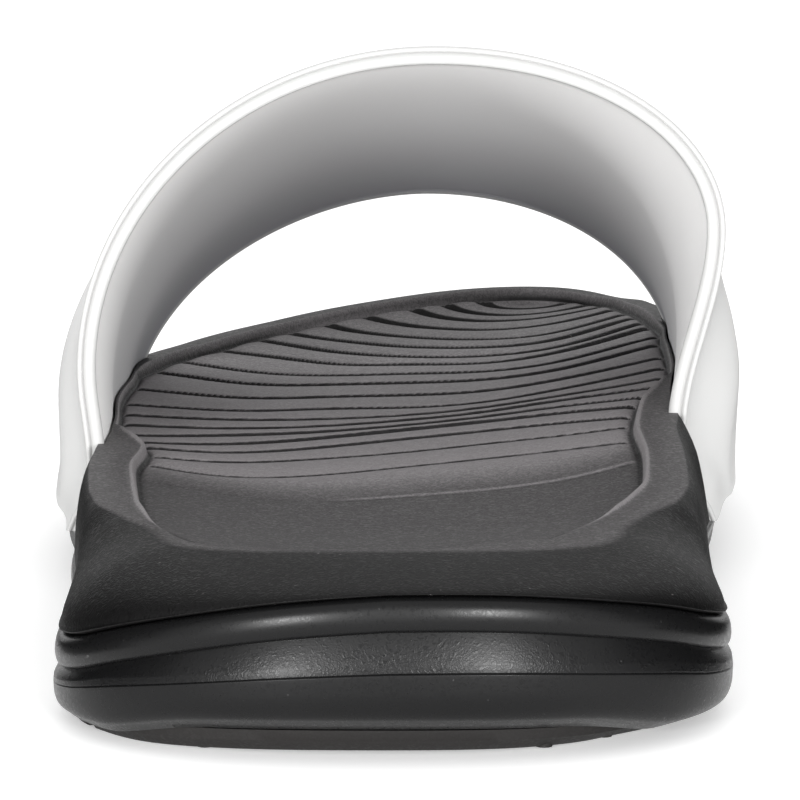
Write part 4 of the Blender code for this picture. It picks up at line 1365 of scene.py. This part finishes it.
rubberLooks = {
    "dark": (0.0050, 0.0042, 0.0039),
    "light": (0.0080, 0.0068, 0.0063),
    "fleckColour": (0.10, 0.09, 0.08),
    "toneSize": 0.02,
    "flecks": 0.03,
    "grain": 0.0007,
    "fine": 0.6,
    "roughLow": 0.60,
    "roughHigh": 0.78,
    "gloss": 0.4,
    "relief": 0.3,
    "reliefDepth": 0.00012,
    "coat": 0.0,
    "coatRough": 0.3,
}
outsolePiece = makeOutsole(foamMaterial("treadRubber", rubberLooks))
attach(outsolePiece, "outsole")
print("outsole made,", len(outsolePiece.data.polygons), "faces")


def halfRound(share):
    return np.sqrt(np.clip(1 - (2 * share - 1) ** 2, 0, 1))


def doubleBead(w):
    # two half round beads side by side across the turned edge
    seam = strap["seamShare"]
    second = strap["secondBead"] * halfRound((w - seam) / (1 - seam))
    return np.where(w < seam, halfRound(w / seam), second)


def makeStrap():
    steps = strap["hoopSteps"] + 1
    fromRear = runOf(lining)
    fromEdge = np.minimum(fromRear, fromRear[-1] - fromRear)
    recess = strap["liningRecess"] * smoothStep(fromEdge / strap["liningStart"])
    inner = lining + outward * recess[..., None]
    w = (1 - np.cos(np.linspace(0, np.pi, strap["edgeRows"] + 2)[1:-1])) / 2
    roll = strap["edgeRoll"] * np.array((0, 1, 0))
    rear = [mix(lining[0], cover[0], s) - roll * doubleBead(s) for s in w]
    front = [mix(cover[-1], lining[-1], s) + roll * halfRound(s) for s in w]
    loops = rear + list(cover) + front + list(inner[::-1])
    shell = Shell()
    rows = [shell.add(points) for points in loops]
    for low, high in zip(rows, rows[1:] + rows[:1]):
        shell.bridge(low, high, closed=False)
    first, last = len(rear), len(rear) + len(cover) - 1
    for end in (0, -1):
        foot = [int(row[end]) for row in rows]
        shell.faces.append([foot[-1]] + foot[:first + 1])
        shell.faces.append(foot[last:last + len(front) + 2])
        for i in range(len(cover) - 1):
            shell.faces.append([foot[first + i], foot[first + i + 1], foot[-i - 2], foot[-i - 1]])
    piece = plainMesh("strap_padded", shell.allPoints(), shell.faces)
    outside = np.zeros((len(loops) - len(inner), steps))
    # toFront sets how far the lining's painted shade has come
    for label, values in (("lining", between(fromEdge, strap["maskStart"], strap["maskEnd"])),
                          ("toFront", fromRear / fromRear[-1])):
        setAttribute(piece, label, np.concatenate((outside, values[::-1])).ravel())
    # the rear rows carry the bead's painted shade
    setAttribute(piece, "beadEdge", np.repeat(np.arange(len(loops)) < len(rear), steps))
    along = np.linspace(0, strap["mapLength"], steps)
    down = np.concatenate((np.linspace(-strap["mapEdge"], 0, len(rear)), fromRear[:, 0],
                           fromRear[-1, 0] + np.linspace(0, strap["mapEdge"], len(front)),
                           fromRear[::-1, 0]))
    layer = piece.data.uv_layers.new(name="UVMap")
    loopVertex = np.empty(len(piece.data.loops), int)
    piece.data.loops.foreach_get("vertex_index", loopVertex)
    uv = np.stack((along[loopVertex % steps], down[loopVertex // steps]), axis=1)
    layer.data.foreach_set("uv", uv.ravel())
    turnOutwards(piece)
    piece.data.set_sharp_from_angle(angle=math.radians(strap["sharpAngle"]))
    return piece


coverLooks = {
    "cover": (0.60, 0.60, 0.595),
    # painted shade: the rear bead is a darker copy of the cover
    "bead": (0.45, 0.45, 0.445),
    "lining": (0.93, 0.925, 0.915),
    # painted shade: the lining darkens to this colour towards its front edge
    "liningFront": (0.255, 0.255, 0.27),
    "coverRough": 0.38,
    "liningRough": 0.75,
    "grain": 0.0006,
    "gloss": 0.22,
    "toneSize": 0.03,
    "toneShade": 0.97,
    "fine": 0.4,
    "relief": 0.12,
    "reliefDepth": 0.0001,
}


def strapMaterial(looks):
    material, tree, shader = newMaterial("whiteSynthetic", Specular_IOR_Level=looks["gloss"])
    inside = attributeNode(tree, "lining")
    dust = useGroup(tree, dustGroup, Tone_Size=looks["toneSize"], Fleck_Amount=0.0)
    shaded = tuple(looks["toneShade"] * c for c in looks["cover"])
    coverToneAndShade = mixColour(tree, rangeNode(tree, dust["Tone"], *toneRange), looks["cover"], shaded)
    # painted shade on the rear bead
    coverToneAndShade = mixColour(tree, attributeNode(tree, "beadEdge"), coverToneAndShade, looks["bead"])
    # painted shade, darker towards the lining's front edge
    liningShaded = mixColour(tree, attributeNode(tree, "toFront"), looks["lining"], looks["liningFront"])
    base = mixColour(tree, inside, coverToneAndShade, liningShaded)
    rough = rangeNode(tree, inside, 0.0, 1.0, looks["coverRough"], looks["liningRough"])
    pebble = useGroup(tree, pebbleGroup, Size=looks["grain"], Fine=looks["fine"])
    finishMaterial(tree, shader, looks, base, rough, pebble["Height"])
    return material


strapPiece = makeStrap()
strapPiece.data.materials.append(strapMaterial(coverLooks))
attach(strapPiece, "strap")
print("strap made")


# Camera where the photograph was taken from, behind the heel and a little above it
camera = {
    "focalPixels": 3761.0,
    "picturePixels": 800,           # the picture's width that the focal length belongs to
    "sensorWidth": 36.0,
    "clip": (0.01, 20),
    "place": (0.0086, -0.4195, 0.0954),
    "yaw": -0.97,                   # degrees, as are pitch and roll
    "pitch": 7.19,
    "roll": -0.19,
}


def aimed(name, data, right, up, back, at):
    # an object that looks against the direction back
    made = linked(name, data)
    made.matrix_world = Matrix([*zip(right, up, back, at), (0, 0, 0, 1)])
    return made


def makeCamera():
    yaw, pitch, roll = (math.radians(camera[k]) for k in ("yaw", "pitch", "roll"))
    forward = np.array((math.sin(yaw) * math.cos(pitch), math.cos(yaw) * math.cos(pitch), -math.sin(pitch)))
    right = np.array((math.cos(yaw), -math.sin(yaw), 0))
    up = np.cross(right, forward)
    data = bpy.data.cameras.new("photoCamera")
    data.sensor_width = camera["sensorWidth"]
    data.lens = camera["focalPixels"] / camera["picturePixels"] * camera["sensorWidth"]
    data.clip_start, data.clip_end = camera["clip"]
    bpy.context.scene.camera = aimed(
        "photoCamera", data, right * math.cos(roll) + up * math.sin(roll),
        up * math.cos(roll) - right * math.sin(roll), -forward, np.array(camera["place"]) + shift)


makeCamera()

# Studio: a pale floor, a bright sky of soft light and three soft boxes
studio = {
    "floor": (0.95, 0.95, 0.95),
    "floorGlow": 0.25,
    "floorRough": 0.9,
    "floorSize": 6.0,
    "sky": 1.0,
    # name, place, width and power of each soft box, and the point that all look at
    "lights": (
        ("leftBox", (-0.46, -1.25, 0.20), 0.24, 12.0),
        ("rightBox", (0.40, -1.25, 0.20), 0.24, 12.0),
        ("topBox", (0.0, 0.5, 1.4), 1.0, 0.4),
    ),
    "aim": (0, 0, 0.03),
    # dark cards that only reflections see: centre, half width, half length, half height
    "cards": (
        ("leftCard", (-0.82, 0.85, 0.002), 0.75, 1.0, 0.0),
        ("rightCard", (0.82, 0.85, 0.002), 0.75, 1.0, 0.0),
        ("leftScreen", (-1.30, 0.60, 1.00), 0.0, 1.3, 1.00),
        ("rightScreen", (1.30, 0.60, 1.00), 0.0, 1.3, 1.00),
    ),
}


def stageCard(name, centre, wide, deep, tall, material):
    # a stage rectangle: half its width, depth and height, which rises towards +X
    x, y, z = centre
    mesh = bpy.data.meshes.new(name)
    mesh.from_pydata([(x - wide, y - deep, z - tall), (x + wide, y - deep, z + tall),
                      (x + wide, y + deep, z + tall), (x - wide, y + deep, z - tall)], [], [(0, 1, 2, 3)])
    mesh.materials.append(material)
    card = linked(name, mesh)
    return card


def makeStudio():
    white, size = (1, 1, 1, 1), studio["floorSize"]
    pale = newMaterial("paleFloor", Roughness=studio["floorRough"], Base_Color=(*studio["floor"], 1),
                       Emission_Color=white, Emission_Strength=studio["floorGlow"])[0]
    stageCard("floor", (0, 0, 0), size, size, 0, pale)
    black = newMaterial("blackCard", Roughness=1.0, Specular_IOR_Level=0.0, Base_Color=(0, 0, 0, 1))[0]
    for name, centre, wide, deep, tall in studio["cards"]:
        card = stageCard(name, centre, wide, deep, tall, black)
        card.visible_camera = card.visible_diffuse = card.visible_shadow = False
        card.visible_transmission = False
    world = bpy.data.worlds.new("studioSky")
    world.use_nodes = True
    background = world.node_tree.nodes["Background"]
    background.inputs["Color"].default_value = white
    background.inputs["Strength"].default_value = studio["sky"]
    bpy.context.scene.world = world
    bpy.context.scene.view_settings.view_transform = "Standard"
    for name, centre, width, power in studio["lights"]:
        data = bpy.data.lights.new(name, "AREA")
        data.size, data.energy = width, power
        at = np.array(centre)
        away = unit(at - studio["aim"])
        right = unit(np.cross((0, 0, 1), away))
        aimed(name, data, right, np.cross(away, right), away, at)


makeStudio()
print("camera and lights set")
